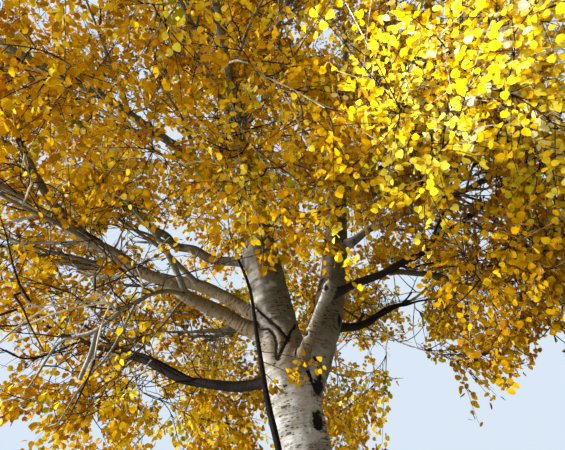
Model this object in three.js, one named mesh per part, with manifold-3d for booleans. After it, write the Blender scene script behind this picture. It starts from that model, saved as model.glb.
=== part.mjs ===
// A whole poplar in autumn, of the trembling aspen kind: a leaning trunk with a root flare, a second
// leader, the boughs that both carry, and the masses of foliage in which the boughs end.
import * as THREE from "three";
import { mergeVertices } from "three/addons/utils/BufferGeometryUtils.js";
import Module from "manifold-3d";

const wasm = await Module();
wasm.setup();

// Driving sizes, in millimetres and degrees. Z is up, and the origin is the middle of the flat cut at
// the ground. Azimuth 0 is +X and azimuth 90 is +Y.
const TAPER_HEIGHT = 12300; // where the trunk's taper would come to a point
const TRUNK_RADIUS = 210; // at the ground, without the root flare
const TRUNK_TAPER = 0.9;
const TRUNK_CROWDING = 1.6; // its rings stand closer together near the ground
const FLARE = { share: 0.62, height: 260, lobes: 5, lobeShare: 0.3 };
const LEADER_RADIUS = 132;
const LEADER_TIP_RADIUS = 26;
const CROWN_AXIS_X = -500; // the crown's middle, which the lean has carried to one side
const MASS_FLATNESS = 0.86; // a mass's height as a share of its width
const GAP = 0.3; // between neighbours that touch
const SLIVER = 0.5; // a fused mass loses details finer than this
const TOUCH_CLEAR = 6; // between a leaf or twig and any limb that isn't its own

// The trunk's and the leader's middle lines, from the ground or the fork to the tip.
const TRUNK_SPINE = [
  [0, 0, 0],
  [0, 0, 60],
  [-35, 0, 1000],
  [-165, 0, 2100],
  [-400, 10, 3200],
  [-680, 30, 4700],
  [-930, 50, 6300],
  [-1130, 40, 8000],
  [-1240, 10, 9600],
  [-1290, 0, 10900],
];
const LEADER_SPINE = [
  [-215, 0, 2400],
  [-60, 40, 2720],
  [80, 90, 3180],
  [180, 140, 3750],
  [300, 190, 4800],
  [470, 220, 6200],
  [640, 190, 7500],
  [760, 150, 8600],
];

// The boughs of the lower crown. at is the height on the trunk or leader, or the share along another
// bough, where the bough begins. It leaves at its rise, and ends in the mass whose middle is at
// azimuth, out and height round the crown's axis, and whose half width is spread.
const LOWER_BOUGHS = [
  {
    name: "left", from: "trunk", at: 2900, rise: 44, radius: 56,
    azimuth: 175, out: 3090, height: 4100, spread: 1300,
  },
  {
    name: "low_left", from: "trunk", at: 2830, rise: 17, radius: 56,
    azimuth: 200, out: 3050, height: 4150, spread: 1350,
  },
  {
    name: "dark_left", from: "trunk", at: 2580, rise: -2, radius: 40,
    azimuth: 151, out: 3100, height: 3650, spread: 1250,
  },
  {
    name: "upper_left", from: "trunk", at: 3560, rise: 8, radius: 44,
    azimuth: 164, out: 2850, height: 5600, spread: 1300,
  },
  {
    name: "left_fork", from: "low_left", at: 0.6, rise: 30, radius: 34,
    azimuth: 197, out: 3050, height: 5450, spread: 1250,
  },
  {
    name: "drooping", from: "low_left", at: 0.3, rise: -5, radius: 17,
    azimuth: 233, out: 1430, height: 2420, spread: 600,
  },
  {
    name: "stub_side", from: "stub", at: 0.84, rise: 24, radius: 30,
    azimuth: 351, out: 3040, height: 4500, spread: 1250,
  },
  {
    name: "low_right", from: "stub_side", at: 0.25, rise: 14, radius: 23,
    azimuth: 17, out: 3350, height: 3650, spread: 1200,
  },
  {
    name: "right_back", from: "leader", at: 2960, rise: 22, radius: 40,
    azimuth: 38, out: 2700, height: 4200, spread: 1200,
  },
  {
    name: "right_front", from: "leader", at: 3750, rise: 10, radius: 36,
    azimuth: 327, out: 2830, height: 3600, spread: 1200,
  },
  {
    name: "back_right", from: "leader", at: 3550, rise: 16, radius: 42,
    azimuth: 72, out: 3150, height: 3900, spread: 1350,
  },
  {
    name: "back_left", from: "trunk", at: 3060, rise: 18, radius: 46,
    azimuth: 114, out: 3150, height: 3950, spread: 1350,
  },
  {
    name: "front_right", from: "leader", at: 4350, rise: 22, radius: 40,
    azimuth: 300, out: 2800, height: 4250, spread: 1300,
  },
  {
    name: "front", from: "trunk", at: 4380, rise: 20, radius: 42,
    azimuth: 264, out: 3050, height: 4250, spread: 1300,
  },
  {
    name: "front_left", from: "trunk", at: 4250, rise: 14, radius: 44,
    azimuth: 226, out: 3150, height: 4050, spread: 1300,
  },
];

// The tiers above: one bough for each azimuth, the next one that much higher on the trunk.
const TIERS = [
  {
    name: "middle",
    azimuths: [12, 58, 104, 240, 286, 332],
    at: 4650,
    step: 130,
    rise: 36,
    radius: 44,
    out: 2720,
    height: 6350,
    spread: 1400,
  },
  {
    name: "upper",
    azimuths: [62, 130, 206, 278],
    at: 6750,
    step: 150,
    rise: 44,
    radius: 34,
    out: 1900,
    height: 8500,
    spread: 1300,
  },
];
const LEADER_SIDE = 0.4; // a tier's bough grows from the leader where its azimuth's cosine is over this

// Masses whose stem grows straight from a limb, with no bough: from the trunk's or the shoot's side,
// or from the tips of the trunk and the leader.
const DIRECT_MASSES = [
  { name: "top_back", from: "trunk", at: 9200, radius: 22, middle: [-1050, 950, 10050], spread: 1150 },
  { name: "top_front", from: "trunk", at: 9350, radius: 22, middle: [-1350, -950, 10150], spread: 1150 },
  { name: "leader_top", from: "leader", at: "tip", middle: [950, 120, 9250], spread: 1200 },
  { name: "crown_tip", from: "trunk", at: "tip", middle: [-1300, 0, 11500], spread: 1100 },
  { name: "sprig", from: "shoot", at: "tip", middle: [-740, -400, 3800], spread: 390 },
];

// The short bough that was sawn off near the fork, and the slender shoot in front of the trunk.
const STUB = { at: 2500, azimuth: 301, rise: 46, length: 790, radius: 50, tipRadius: 44 };
const SHOOT = {
  spine: [
    [-60, 0, 1350],
    [-215, -215, 1650],
    [-303, -295, 2020],
    [-430, -290, 2500],
    [-533, -275, 3080],
    [-660, -285, 3420],
  ],
  radius: 27,
  tipRadius: 9,
};

// What grows in a mass.
const STEM = { share: 0.72, sides: 4, steps: 2, tipShare: 0.45, beyond: 0.3, lift: 0.15 };
const TWIGS = 5;
const TWIG = { rootShare: 0.55, tipShare: 0.3, sides: 3 };
const LEAVES = [
  { along: 0.995, lean: 0, turn: 0 },
  { along: 0.7, lean: 62, turn: 1 },
  { along: 0.45, lean: 70, turn: -1 },
];
const LEAF = { share: 0.54, width: 0.98, waist: 0.42, thickness: 0.024, tilt: 75 };
const GOLDEN_TURN = Math.PI * (3 - Math.sqrt(5));

const radians = THREE.MathUtils.degToRad;
const at = (point) => new THREE.Vector3(...point);
const UP = new THREE.Vector3(0, 0, 1);

// A repeatable stream of numbers from 0 to 1.
function seeded(seed) {
  let state = seed;
  return () => {
    state = (state * 16807) % 2147483647;
    return state / 2147483647;
  };
}

// The unit vector at an azimuth and a rise above the level.
function heading(azimuth, rise) {
  const level = Math.cos(radians(rise));
  return new THREE.Vector3(
    level * Math.cos(radians(azimuth)),
    level * Math.sin(radians(azimuth)),
    Math.sin(radians(rise)),
  );
}

// A closed geometry as a solid, with nothing left but its points and faces.
function solidOf(geometry) {
  const plain = geometry.clone();
  plain.deleteAttribute("normal");
  plain.deleteAttribute("uv");
  const merged = mergeVertices(plain, 1e-3);
  return new wasm.Manifold(
    new wasm.Mesh({
      numProp: 3,
      vertProperties: new Float32Array(merged.attributes.position.array),
      triVerts: new Uint32Array(merged.index.array),
    }),
  );
}

// The solid's points and faces as a geometry again.
function geometryOf(solid) {
  const mesh = solid.getMesh();
  const geometry = new THREE.BufferGeometry();
  geometry.setAttribute("position", new THREE.BufferAttribute(mesh.vertProperties, 3));
  geometry.setIndex(new THREE.BufferAttribute(mesh.triVerts, 1));
  geometry.computeVertexNormals();
  return geometry;
}

// The largest of a solid's separate bodies, so that a loose scrap of a cut is dropped.
function largestBody(solid) {
  const bodies = solid.decompose();
  return bodies.reduce((best, body) => (body.volume() > best.volume() ? body : best));
}

// The rings of a limb: the middle of each and its two cross directions, carried along untwisted.
// A crowding over 1 brings the rings closer together near the limb's foot.
function ringsOf(curve, steps, crowding) {
  const first = curve.getTangentAt(0);
  let across = Math.abs(first.x) < 0.8 ? new THREE.Vector3(1, 0, 0) : new THREE.Vector3(0, 1, 0);
  return Array.from({ length: steps + 1 }, (_, k) => {
    const share = (k / steps) ** crowding;
    const way = curve.getTangentAt(share);
    across = across.clone().addScaledVector(way, -across.dot(way)).normalize();
    const up = new THREE.Vector3().crossVectors(way, across);
    return { share, middle: curve.getPointAt(share), across, up };
  });
}

// A cylinder whose rings are moved onto a curve. radiusAt takes the share along the curve and the
// angle round it.
function limbSolid(curve, radiusAt, sides, steps, crowding = 1) {
  const geometry = new THREE.CylinderGeometry(1, 1, 1, sides, steps);
  const rings = ringsOf(curve, steps, crowding);
  const position = geometry.attributes.position;
  const point = new THREE.Vector3();
  for (let i = 0; i < position.count; i++) {
    point.fromBufferAttribute(position, i);
    const { share, middle, across, up } = rings[Math.round((point.y + 0.5) * steps)];
    const angle = Math.atan2(-point.z, point.x);
    const radius = Math.hypot(point.x, point.z) > 0.5 ? radiusAt(share, angle) : 0;
    const place = middle.clone().addScaledVector(across, radius * Math.cos(angle));
    place.addScaledVector(up, radius * Math.sin(angle));
    position.setXYZ(i, place.x, place.y, place.z);
  }
  return solidOf(geometry);
}

// A limb: its curve, its radius along it, and a function for its solid, grown all over by some extra.
function limb(name, curve, radiusAt, sides, steps, crowding = 1) {
  const build = (extra) =>
    limbSolid(curve, (share, angle) => radiusAt(share, angle) + extra, sides, steps, crowding);
  return { name, curve, radiusAt, build };
}

// A smooth curve through some places.
function curveThrough(places) {
  return new THREE.CatmullRomCurve3(places.map(at), false, "catmullrom", 0.5);
}

// The trunk's radius: an even taper, and a flare in lobes near the ground.
function trunkRadius(height, angle) {
  const taper = TRUNK_RADIUS * (1 - height / TAPER_HEIGHT) ** TRUNK_TAPER;
  const lobe = 1 + FLARE.lobeShare * Math.cos(FLARE.lobes * angle);
  return taper + TRUNK_RADIUS * FLARE.share * Math.exp(-height / FLARE.height) * lobe;
}

function makeTrunk() {
  const curve = curveThrough(TRUNK_SPINE);
  const radiusAt = (share, angle) => trunkRadius(curve.getPointAt(share).z, angle);
  return limb("trunk", curve, radiusAt, 15, 20, TRUNK_CROWDING);
}

function makeLeader() {
  const curve = curveThrough(LEADER_SPINE);
  const radiusAt = (u) => LEADER_TIP_RADIUS + (LEADER_RADIUS - LEADER_TIP_RADIUS) * (1 - u) ** 0.9;
  return limb("leader", curve, radiusAt, 10, 12);
}

function makeStub(trunk) {
  const start = pointOn(trunk, STUB.at);
  const end = start.clone().addScaledVector(heading(STUB.azimuth, STUB.rise), STUB.length);
  const radiusAt = (u) => THREE.MathUtils.lerp(STUB.radius, STUB.tipRadius, u);
  return limb("stub", new THREE.LineCurve3(start, end), radiusAt, 8, 1);
}

function makeShoot() {
  const curve = curveThrough(SHOOT.spine);
  const radiusAt = (u) => THREE.MathUtils.lerp(SHOOT.radius, SHOOT.tipRadius, u);
  return limb("shoot", curve, radiusAt, 6, 8);
}

// A place on a limb: at a height on the trunk or leader, or at a share of another limb's length.
function pointOn(parent, where) {
  if (where === "tip") return parent.curve.getPointAt(1);
  if (where <= 1) return parent.curve.getPointAt(where);
  let low = 0;
  let high = 1;
  for (let i = 0; i < 30; i++) {
    const middle = (low + high) / 2;
    if (parent.curve.getPointAt(middle).z < where) low = middle;
    else high = middle;
  }
  return parent.curve.getPointAt(low);
}

// A bough leaves its parent at its rise and swings round to enter its mass from below.
function makeBough(order, parent) {
  const middle = massMiddle(order);
  const start = pointOn(parent, order.at);
  const inward = middle.clone().sub(start);
  const azimuth = THREE.MathUtils.radToDeg(Math.atan2(inward.y, inward.x));
  const entry = inward.clone().normalize();
  const tip = middle.clone().addScaledVector(entry, -order.spread * STEM.share);
  const reach = tip.distanceTo(start);
  const curve = new THREE.CubicBezierCurve3(
    start,
    start.clone().addScaledVector(heading(azimuth, order.rise), reach * 0.4),
    tip.clone().addScaledVector(entry, -reach * 0.25),
    tip,
  );
  const tipRadius = order.radius * 0.5;
  const radiusAt = (u) => tipRadius + (order.radius - tipRadius) * (1 - u) ** 0.8;
  return limb(order.name, curve, radiusAt, 6, 5);
}

function massMiddle(order) {
  const middle = heading(order.azimuth, 0).multiplyScalar(order.out);
  return middle.add(new THREE.Vector3(CROWN_AXIS_X, 0, order.height));
}

// A tier's boughs, written out one by one.
function tierBoughs(tier) {
  return tier.azimuths.map((azimuth, i) => ({
    ...tier,
    name: `${tier.name}_${i + 1}`,
    from: Math.cos(radians(azimuth)) > LEADER_SIDE ? "leader" : "trunk",
    at: tier.at + i * tier.step,
    height: tier.height + (i % 2 ? 260 : -260),
    azimuth,
  }));
}

// A mass: its middle, the half widths of its space, and the stem that carries it.
// The stem starts square to the limb's end, in the limb's own way, and bends up through the middle.
function makeMass(name, middle, spread, start, way, radius, seed) {
  const along = middle.clone().sub(start);
  const foot = start.clone().addScaledVector(way, GAP);
  const bend = foot.clone().addScaledVector(way, along.length() * 0.5);
  const end = middle.clone().addScaledVector(along.normalize(), spread * STEM.beyond);
  end.addScaledVector(UP, spread * STEM.lift);
  const curve = new THREE.QuadraticBezierCurve3(foot, bend, end);
  const radiusAt = (u) => radius * (1 - u * (1 - STEM.tipShare));
  const half = new THREE.Vector3(spread, spread, spread * MASS_FLATNESS);
  const stem = limb(`${name}_stem`, curve, radiusAt, STEM.sides, STEM.steps);
  return { name, middle, spread, half, stem, radius, seed };
}

// True if each point lies in the mass's own space: its ellipsoid, on its own side of the planes that
// part it from every other mass.
function inSpace(mass, masses, points) {
  return points.every((point) => {
    const away = point.clone().sub(mass.middle);
    if (away.clone().divide(mass.half).lengthSq() > 1) return false;
    return masses.every((other) => other === mass || towards(mass, other, point) > TOUCH_CLEAR);
  });
}

// How far a point is on the mass's side of the plane that parts it from another.
function towards(mass, other, point) {
  const apart = other.middle.clone().sub(mass.middle);
  const width = apart.length();
  const share = (width * width + mass.spread ** 2 - other.spread ** 2) / (2 * width);
  return share - point.clone().sub(mass.middle).dot(apart) / width;
}

// The corners of a solid, for testing where it lies.
function cornersOf(solid) {
  const mesh = solid.getMesh();
  const corners = [];
  for (let i = 0; i < mesh.numVert; i++) {
    corners.push(new THREE.Vector3().fromArray(mesh.vertProperties, i * mesh.numProp));
  }
  return corners;
}

// The way from a mass's middle to the k-th of n evenly spread twig tips.
function spiral(k, n, turn) {
  const height = 1 - (2 * (k + 0.5)) / n;
  const level = Math.sqrt(1 - height * height);
  const angle = k * GOLDEN_TURN + turn;
  return new THREE.Vector3(level * Math.cos(angle), level * Math.sin(angle), height);
}

// A three-sided twig between two points.
function twigSolid(start, tip, rootRadius) {
  const radiusAt = (u) => rootRadius * (1 - u * (1 - TWIG.tipShare));
  return limbSolid(new THREE.LineCurve3(start, tip), radiusAt, TWIG.sides, 1);
}

// A leaf is an octahedron drawn out flat: its foot and tip, two sides, and a crown on each face.
function leafSolid(foot, way, face, length) {
  const side = new THREE.Vector3().crossVectors(way, face).normalize();
  const normal = new THREE.Vector3().crossVectors(side, way);
  const geometry = new THREE.OctahedronGeometry(1);
  const position = geometry.attributes.position;
  for (let i = 0; i < position.count; i++) {
    const [x, y, z] = [position.getX(i), position.getY(i), position.getZ(i)];
    const along = length * (y > 0.5 ? 1 : y < -0.5 ? 0 : LEAF.waist);
    const place = foot.clone().addScaledVector(way, along);
    place.addScaledVector(side, (x * length * LEAF.width) / 2);
    place.addScaledVector(normal, (z * length * LEAF.thickness) / 2);
    position.setXYZ(i, place.x, place.y, place.z);
  }
  return solidOf(geometry);
}

// The twigs of a mass: each runs from its stem to one of the evenly spread tips.
function twigsOf(mass, random) {
  const turn = random() * 2 * Math.PI;
  const leafLength = mass.spread * LEAF.share;
  const stemWay = mass.stem.curve.getPointAt(1).sub(mass.stem.curve.getPointAt(0));
  const stemLength = stemWay.length();
  stemWay.normalize();
  return Array.from({ length: TWIGS }, (_, k) => {
    const reach = mass.half.clone().subScalar(leafLength * 0.93);
    const away = spiral(k, TWIGS, turn).multiply(reach);
    const tip = mass.middle.clone().add(away.multiplyScalar(0.94 + 0.06 * random()));
    const forward = tip.clone().sub(mass.stem.curve.getPointAt(0)).dot(stemWay) / stemLength;
    const start = mass.stem.curve.getPointAt(THREE.MathUtils.clamp(forward - 0.3, 0.16, 0.9));
    return { start, tip, roll: random() * 2 * Math.PI };
  });
}

// The foot, way and face of each leaf on a twig.
function leavesOf(twig, mass) {
  const way = twig.tip.clone().sub(twig.start).normalize();
  const outward = new THREE.Vector3().crossVectors(way, UP);
  const side = outward.lengthSq() > 0.01 ? outward.normalize() : new THREE.Vector3(1, 0, 0);
  return LEAVES.map((leaf, k) => {
    const spin = side.clone().applyAxisAngle(way, twig.roll * 0.25 + (leaf.turn < 0 ? Math.PI : 0));
    const lean = radians(leaf.lean);
    const leafWay = way.clone().multiplyScalar(Math.cos(lean)).addScaledVector(spin, Math.sin(lean));
    const across = new THREE.Vector3().crossVectors(leafWay.normalize(), UP).normalize();
    const tilt = radians(k % 2 ? LEAF.tilt : -LEAF.tilt) * Math.cos(twig.roll);
    return {
      foot: twig.start.clone().lerp(twig.tip, leaf.along),
      way: leafWay,
      face: across.cross(leafWay).applyAxisAngle(leafWay, tilt),
      length: mass.spread * LEAF.share,
    };
  });
}

// Everything in a mass, joined: its stem, the twigs, and the leaves on them.
function massSolid(mass, masses, limbs) {
  const random = seeded(mass.seed);
  const others = masses.filter((other) => other !== mass);
  const obstacles = [...limbs, ...others.map((other) => other.stem)];
  const near = obstacles.map((obstacle) => obstacle.fat).filter(Boolean);
  const fits = (solid) =>
    inSpace(mass, masses, cornersOf(solid)) &&
    near.every((obstacle) => solid.intersect(obstacle).isEmpty());
  let wood = mass.stem.build(0);
  if (mass.cutBy) wood = wood.subtract(mass.cutBy.build(GAP));
  let leaves = wasm.Manifold.union([]);
  for (const twig of twigsOf(mass, random)) {
    const twigBody = twigSolid(twig.start, twig.tip, mass.radius * TWIG.rootShare);
    if (!fits(twigBody)) continue;
    wood = wood.add(twigBody);
    for (const leaf of leavesOf(twig, mass)) {
      const body = leafSolid(leaf.foot, leaf.way, leaf.face, leaf.length);
      if (fits(body) && body.intersect(leaves).isEmpty()) leaves = leaves.add(body);
    }
  }
  return largestBody(wood.add(leaves)).simplify(SLIVER);
}

// Every limb, in the order in which they grow, with the masses that end them.
function growTree() {
  const trunk = makeTrunk();
  const leader = makeLeader();
  const stub = makeStub(trunk);
  const shoot = makeShoot();
  const limbs = { trunk, leader, stub, shoot };
  const masses = [];
  for (const order of [...LOWER_BOUGHS, ...TIERS.flatMap(tierBoughs)]) {
    const bough = makeBough(order, limbs[order.from]);
    limbs[order.name] = bough;
    const tip = bough.curve.getPointAt(1);
    const way = bough.curve.getTangentAt(1);
    const radius = bough.radiusAt(1) * 0.9;
    const seed = 11 + masses.length;
    masses.push(makeMass(order.name, massMiddle(order), order.spread, tip, way, radius, seed));
  }
  for (const order of DIRECT_MASSES) {
    const parent = limbs[order.from];
    const middle = at(order.middle);
    const start = pointOn(parent, order.at);
    const atTip = order.at === "tip";
    const way = atTip ? parent.curve.getTangentAt(1) : middle.clone().sub(start).normalize();
    const radius = order.radius ?? parent.radiusAt(1, 0) * 0.9;
    const mass = makeMass(order.name, middle, order.spread, start, way, radius, 11 + masses.length);
    // A stem that leaves a limb's side starts on its middle line, and is cut back to its skin.
    if (!atTip) mass.cutBy = parent;
    masses.push(mass);
  }
  return { limbs: Object.values(limbs), masses };
}

const WOOD = {
  trunk: { color: 0xd9d5c6, roughness: 0.85 },
  leader: { color: 0xcfcbb8, roughness: 0.85 },
  stub: { color: 0xc2b896, roughness: 0.85 },
  shoot: { color: 0x3a2c20, roughness: 0.9 },
  dark_left: { color: 0x4a3a2c, roughness: 0.9 },
};
const PALE_BARK = { color: 0x9c9478, roughness: 0.88 };
const FOLIAGE = { color: 0xd9a514, roughness: 0.6 };

function meshOf(name, solid, look) {
  const material = new THREE.MeshStandardMaterial({ ...look, metalness: 0 });
  const mesh = new THREE.Mesh(geometryOf(solid), material);
  mesh.name = name;
  return mesh;
}

function buildTree() {
  const tree = new THREE.Group();
  const { limbs, masses } = growTree();
  const grown = [];
  for (const part of limbs) {
    let solid = part.build(0);
    for (const earlier of grown) solid = solid.subtract(earlier);
    tree.add(meshOf(limbName(part), largestBody(solid), WOOD[part.name] ?? PALE_BARK));
    grown.push(part.build(GAP));
  }
  for (const part of limbs) part.fat = part.build(TOUCH_CLEAR);
  for (const mass of masses) mass.stem.fat = mass.stem.build(TOUCH_CLEAR);
  for (const mass of masses) {
    tree.add(meshOf(`mass_${mass.name}`, massSolid(mass, masses, limbs), FOLIAGE));
  }
  return tree;
}

function limbName(part) {
  return ["trunk", "leader", "stub", "shoot"].includes(part.name) ? part.name : `bough_${part.name}`;
}

export default buildTree();
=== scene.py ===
"""A whole autumn poplar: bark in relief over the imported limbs, and twigs and leaves grown on from them."""

import math

import bpy
import numpy as np
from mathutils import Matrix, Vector, noise


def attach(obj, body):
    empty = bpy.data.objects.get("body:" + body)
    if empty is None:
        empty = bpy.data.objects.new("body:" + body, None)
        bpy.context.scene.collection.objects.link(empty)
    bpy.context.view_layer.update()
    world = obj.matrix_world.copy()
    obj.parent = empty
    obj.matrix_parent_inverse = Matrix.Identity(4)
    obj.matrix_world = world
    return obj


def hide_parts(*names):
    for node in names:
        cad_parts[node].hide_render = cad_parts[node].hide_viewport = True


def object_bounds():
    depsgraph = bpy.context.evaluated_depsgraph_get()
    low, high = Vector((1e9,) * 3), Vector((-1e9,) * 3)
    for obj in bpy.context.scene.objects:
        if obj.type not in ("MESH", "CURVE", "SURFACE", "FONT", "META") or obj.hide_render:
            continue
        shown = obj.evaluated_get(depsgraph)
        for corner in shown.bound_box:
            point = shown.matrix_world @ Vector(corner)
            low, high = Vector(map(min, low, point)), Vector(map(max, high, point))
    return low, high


bl_info = {
    "name": "Autumn poplar",
    "version": (1, 0, 0),
    "blender": (4, 5, 0),
    "location": "3D View > Sidebar > Poplar",
    "description": "Grows the bark, twigs and leaves of an autumn poplar round its frame of limbs",
    "category": "Object",
}

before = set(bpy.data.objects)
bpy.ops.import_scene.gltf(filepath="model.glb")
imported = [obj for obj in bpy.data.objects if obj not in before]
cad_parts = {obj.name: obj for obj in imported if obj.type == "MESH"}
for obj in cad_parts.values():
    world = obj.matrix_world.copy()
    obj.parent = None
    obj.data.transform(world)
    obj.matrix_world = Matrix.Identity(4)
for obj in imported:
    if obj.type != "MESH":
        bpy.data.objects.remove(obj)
FRAME_BOX = [list(corner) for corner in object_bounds()]
BOX_LOW, BOX_HIGH = (np.array(corner) for corner in FRAME_BOX)

# The sizes of the limbs, as in the part's source: millimetres and degrees.
MM = 0.001
TAPER_HEIGHT = 12300
TRUNK_RADIUS = 210
TRUNK_TAPER = 0.9
FLARE_SHARE = 0.62
FLARE_HEIGHT = 260
FLARE_LOBES = 5
LEADER_RADIUS = 132
LEADER_TIP_RADIUS = 26
CROWN_AXIS_X = -500
MASS_FLATNESS = 0.86

TRUNK_SPINE = [
    (0, 0, 0),
    (0, 0, 60),
    (-35, 0, 1000),
    (-165, 0, 2100),
    (-400, 10, 3200),
    (-680, 30, 4700),
    (-930, 50, 6300),
    (-1130, 40, 8000),
    (-1240, 10, 9600),
    (-1290, 0, 10900),
]
LEADER_SPINE = [
    (-215, 0, 2400),
    (-60, 40, 2720),
    (80, 90, 3180),
    (180, 140, 3750),
    (300, 190, 4800),
    (470, 220, 6200),
    (640, 190, 7500),
    (760, 150, 8600),
]
SHOOT_SPINE = [
    (-60, 0, 1350),
    (-215, -215, 1650),
    (-303, -295, 2020),
    (-430, -290, 2500),
    (-533, -275, 3080),
    (-660, -285, 3420),
]
STUB = {"at": 2500, "azimuth": 301, "rise": 46, "length": 790, "radius": 50, "tip_radius": 44}

# Each bough of the lower crown: its name, the limb it leaves, the height or share where it leaves, its
# rise and radius, and the azimuth, distance out, height and half width of the mass that ends it.
LOWER_BOUGHS = [
    ("left", "trunk", 2900, 44, 56, 175, 3090, 4100, 1300),
    ("low_left", "trunk", 2830, 17, 56, 200, 3050, 4150, 1350),
    ("dark_left", "trunk", 2580, -2, 40, 151, 3100, 3650, 1250),
    ("upper_left", "trunk", 3560, 8, 44, 164, 2850, 5600, 1300),
    ("left_fork", "low_left", 0.6, 30, 34, 197, 3050, 5450, 1250),
    ("drooping", "low_left", 0.3, -5, 17, 233, 1430, 2420, 600),
    ("stub_side", "stub", 0.84, 24, 30, 351, 3040, 4500, 1250),
    ("low_right", "stub_side", 0.25, 14, 23, 17, 3350, 3650, 1200),
    ("right_back", "leader", 2960, 22, 40, 38, 2700, 4200, 1200),
    ("right_front", "leader", 3750, 10, 36, 327, 2830, 3600, 1200),
    ("back_right", "leader", 3550, 16, 42, 72, 3150, 3900, 1350),
    ("back_left", "trunk", 3060, 18, 46, 114, 3150, 3950, 1350),
    ("front_right", "leader", 4350, 22, 40, 300, 2800, 4250, 1300),
    ("front", "trunk", 4380, 20, 42, 264, 3050, 4250, 1300),
    ("front_left", "trunk", 4250, 14, 44, 226, 3150, 4050, 1300),
]
# Each tier above: its name and azimuths, the first height and the step to the next, then as above.
TIERS = [
    ("middle", (12, 58, 104, 240, 286, 332), 4650, 130, 36, 44, 2720, 6350, 1400),
    ("upper", (62, 130, 206, 278), 6750, 150, 44, 34, 1900, 8500, 1300),
]
# A tier's masses stand above and below its height by turns, and a bough of a tier leaves the leader where
# the cosine of its azimuth is above this.
TIER_SWAY = 260
LEADER_SIDE = 0.4
# Each mass that grows straight from a limb: its name, the limb, where on it, its stem's radius, its
# middle and its half width.
DIRECT_MASSES = [
    ("top_back", "trunk", 9200, 22, (-1050, 950, 10050), 1150),
    ("top_front", "trunk", 9350, 22, (-1350, -950, 10150), 1150),
    ("leader_top", "leader", "tip", None, (950, 120, 9250), 1200),
    ("crown_tip", "trunk", "tip", None, (-1300, 0, 11500), 1100),
    ("sprig", "shoot", "tip", None, (-740, -400, 3800), 390),
]
# As shares of a mass's half width: where its stem starts, how far past the middle and how high it ends, and
# the size of a leaf of the source. The stem's tip is a share of its foot.
STEM_SHARE = 0.72
STEM_BEYOND = 0.3
STEM_LIFT = 0.15
LEAF_SHARE = 0.54
STEM_TIP_SHARE = 0.45
TWIGS = 5
GOLDEN_TURN = math.pi * (3 - math.sqrt(5))
UP = np.array([0.0, 0.0, 1.0])
# The limbs whose bark is one mesh.
STEMS = ("trunk", "leader", "stub")

# How dark each limb's bark is painted, from 0 for cream to 1 for nearly black: painted shade on the limbs
# that stand in shade.
LIMB_SHADE = {
    "shoot": 1.0,
    "dark_left": 1.0,
    "stub_side": 0.93,
    "right_back": 0.97,
    "back_left": 0.55,
    "back_right": 0.6,
    "upper_left": 0.3,
    "low_right": 0.25,
    "right_front": 0.4,
}
# How far the bark of the shaded low limbs is painted olive-brown, as painted shade.
BROWN_SHADE = {"left": 0.72, "low_left": 0.75, "left_fork": 0.7, "drooping": 0.4, "upper_left": 0.4}
# The share of its leaves that a mass or limb has kept, where some have fallen.
KEPT = {"drooping": 0.2, "dark_left": 0.6, "left": 0.75, "low_left": 0.75, "left_fork": 0.75, "sprig": 0.6}
# Where the crown is seen from below at the front, in metres, and how far up that view is tilted.
VIEWPOINT = np.array([-0.30, -2.80, 1.60])
VIEW_TILT = math.radians(40)
VIEW_FORWARD = np.array([0, math.cos(VIEW_TILT), math.sin(VIEW_TILT)])
VIEW_UP = np.array([0, -math.sin(VIEW_TILT), math.cos(VIEW_TILT)])
# The focal length of that view and the width of its picture, in pixels.
FOCAL_LENGTH = 400
PICTURE_WIDTH = 565
# The open wedge in front of the fork, a cone from the viewpoint: the far end of its axis, its half width
# there and at its point, and how far past its end it reaches.
WEDGE_AXIS = np.array([-0.26, -0.20, 2.68]) - VIEWPOINT
WEDGE_HALF_WIDTH = 0.46
WEDGE_POINT_WIDTH = 0.05
WEDGE_REACH = 1.15
# The open gaps of the crown. They are cones from the viewpoint: how far right and up their axis runs for
# each metre forwards, and their half width there.
CROWN_GAPS = np.array([
    (0.373, -0.467, 0.100),
    (0.318, -0.345, 0.040),
    (0.276, -0.318, 0.036),
    (0.161, -0.315, 0.028),
    (0.321, -0.192, 0.032),
    (0.284, -0.130, 0.030),
    (0.339, -0.140, 0.024),
    (0.486, 0.095, 0.042),
    (0.536, -0.210, 0.030),
    (0.339, -0.258, 0.028),
    (0.259, 0.155, 0.028),
    (0.671, -0.312, 0.045),
    (0.704, -0.382, 0.050),
    (0.730, -0.460, 0.070),
    (0.619, -0.392, 0.035),
    (-0.419, -0.025, 0.036),
    (-0.359, -0.038, 0.028),
    (-0.131, 0.012, 0.024),
    (-0.116, -0.140, 0.022),
    (-0.344, -0.410, 0.028),
    (-0.700, -0.335, 0.028),
])
# How far a spray's end may stand out of the frame's box, in metres.
BOX_MARGIN = 0.06
# The low sprays at the front, whose leaves are painted the palest as painted light: their middle, how far
# they reach, and how far the cream ones among them, a painted highlight, reach, in metres.
SUNLIT_SPRAYS = np.array([0.82, -1.75, 3.62])
SUNLIT_REACH = 0.8
HIGHLIGHT_REACH = 0.65
HIGHLIGHT_SHARE = 0.6
# The shaded low sprays at the right, whose leaves are painted a deeper gold as painted shade: their middle
# and their reach.
SHADED_SPRAYS = np.array([1.50, -0.60, 2.95])
SHADED_REACH = 1.15
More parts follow.
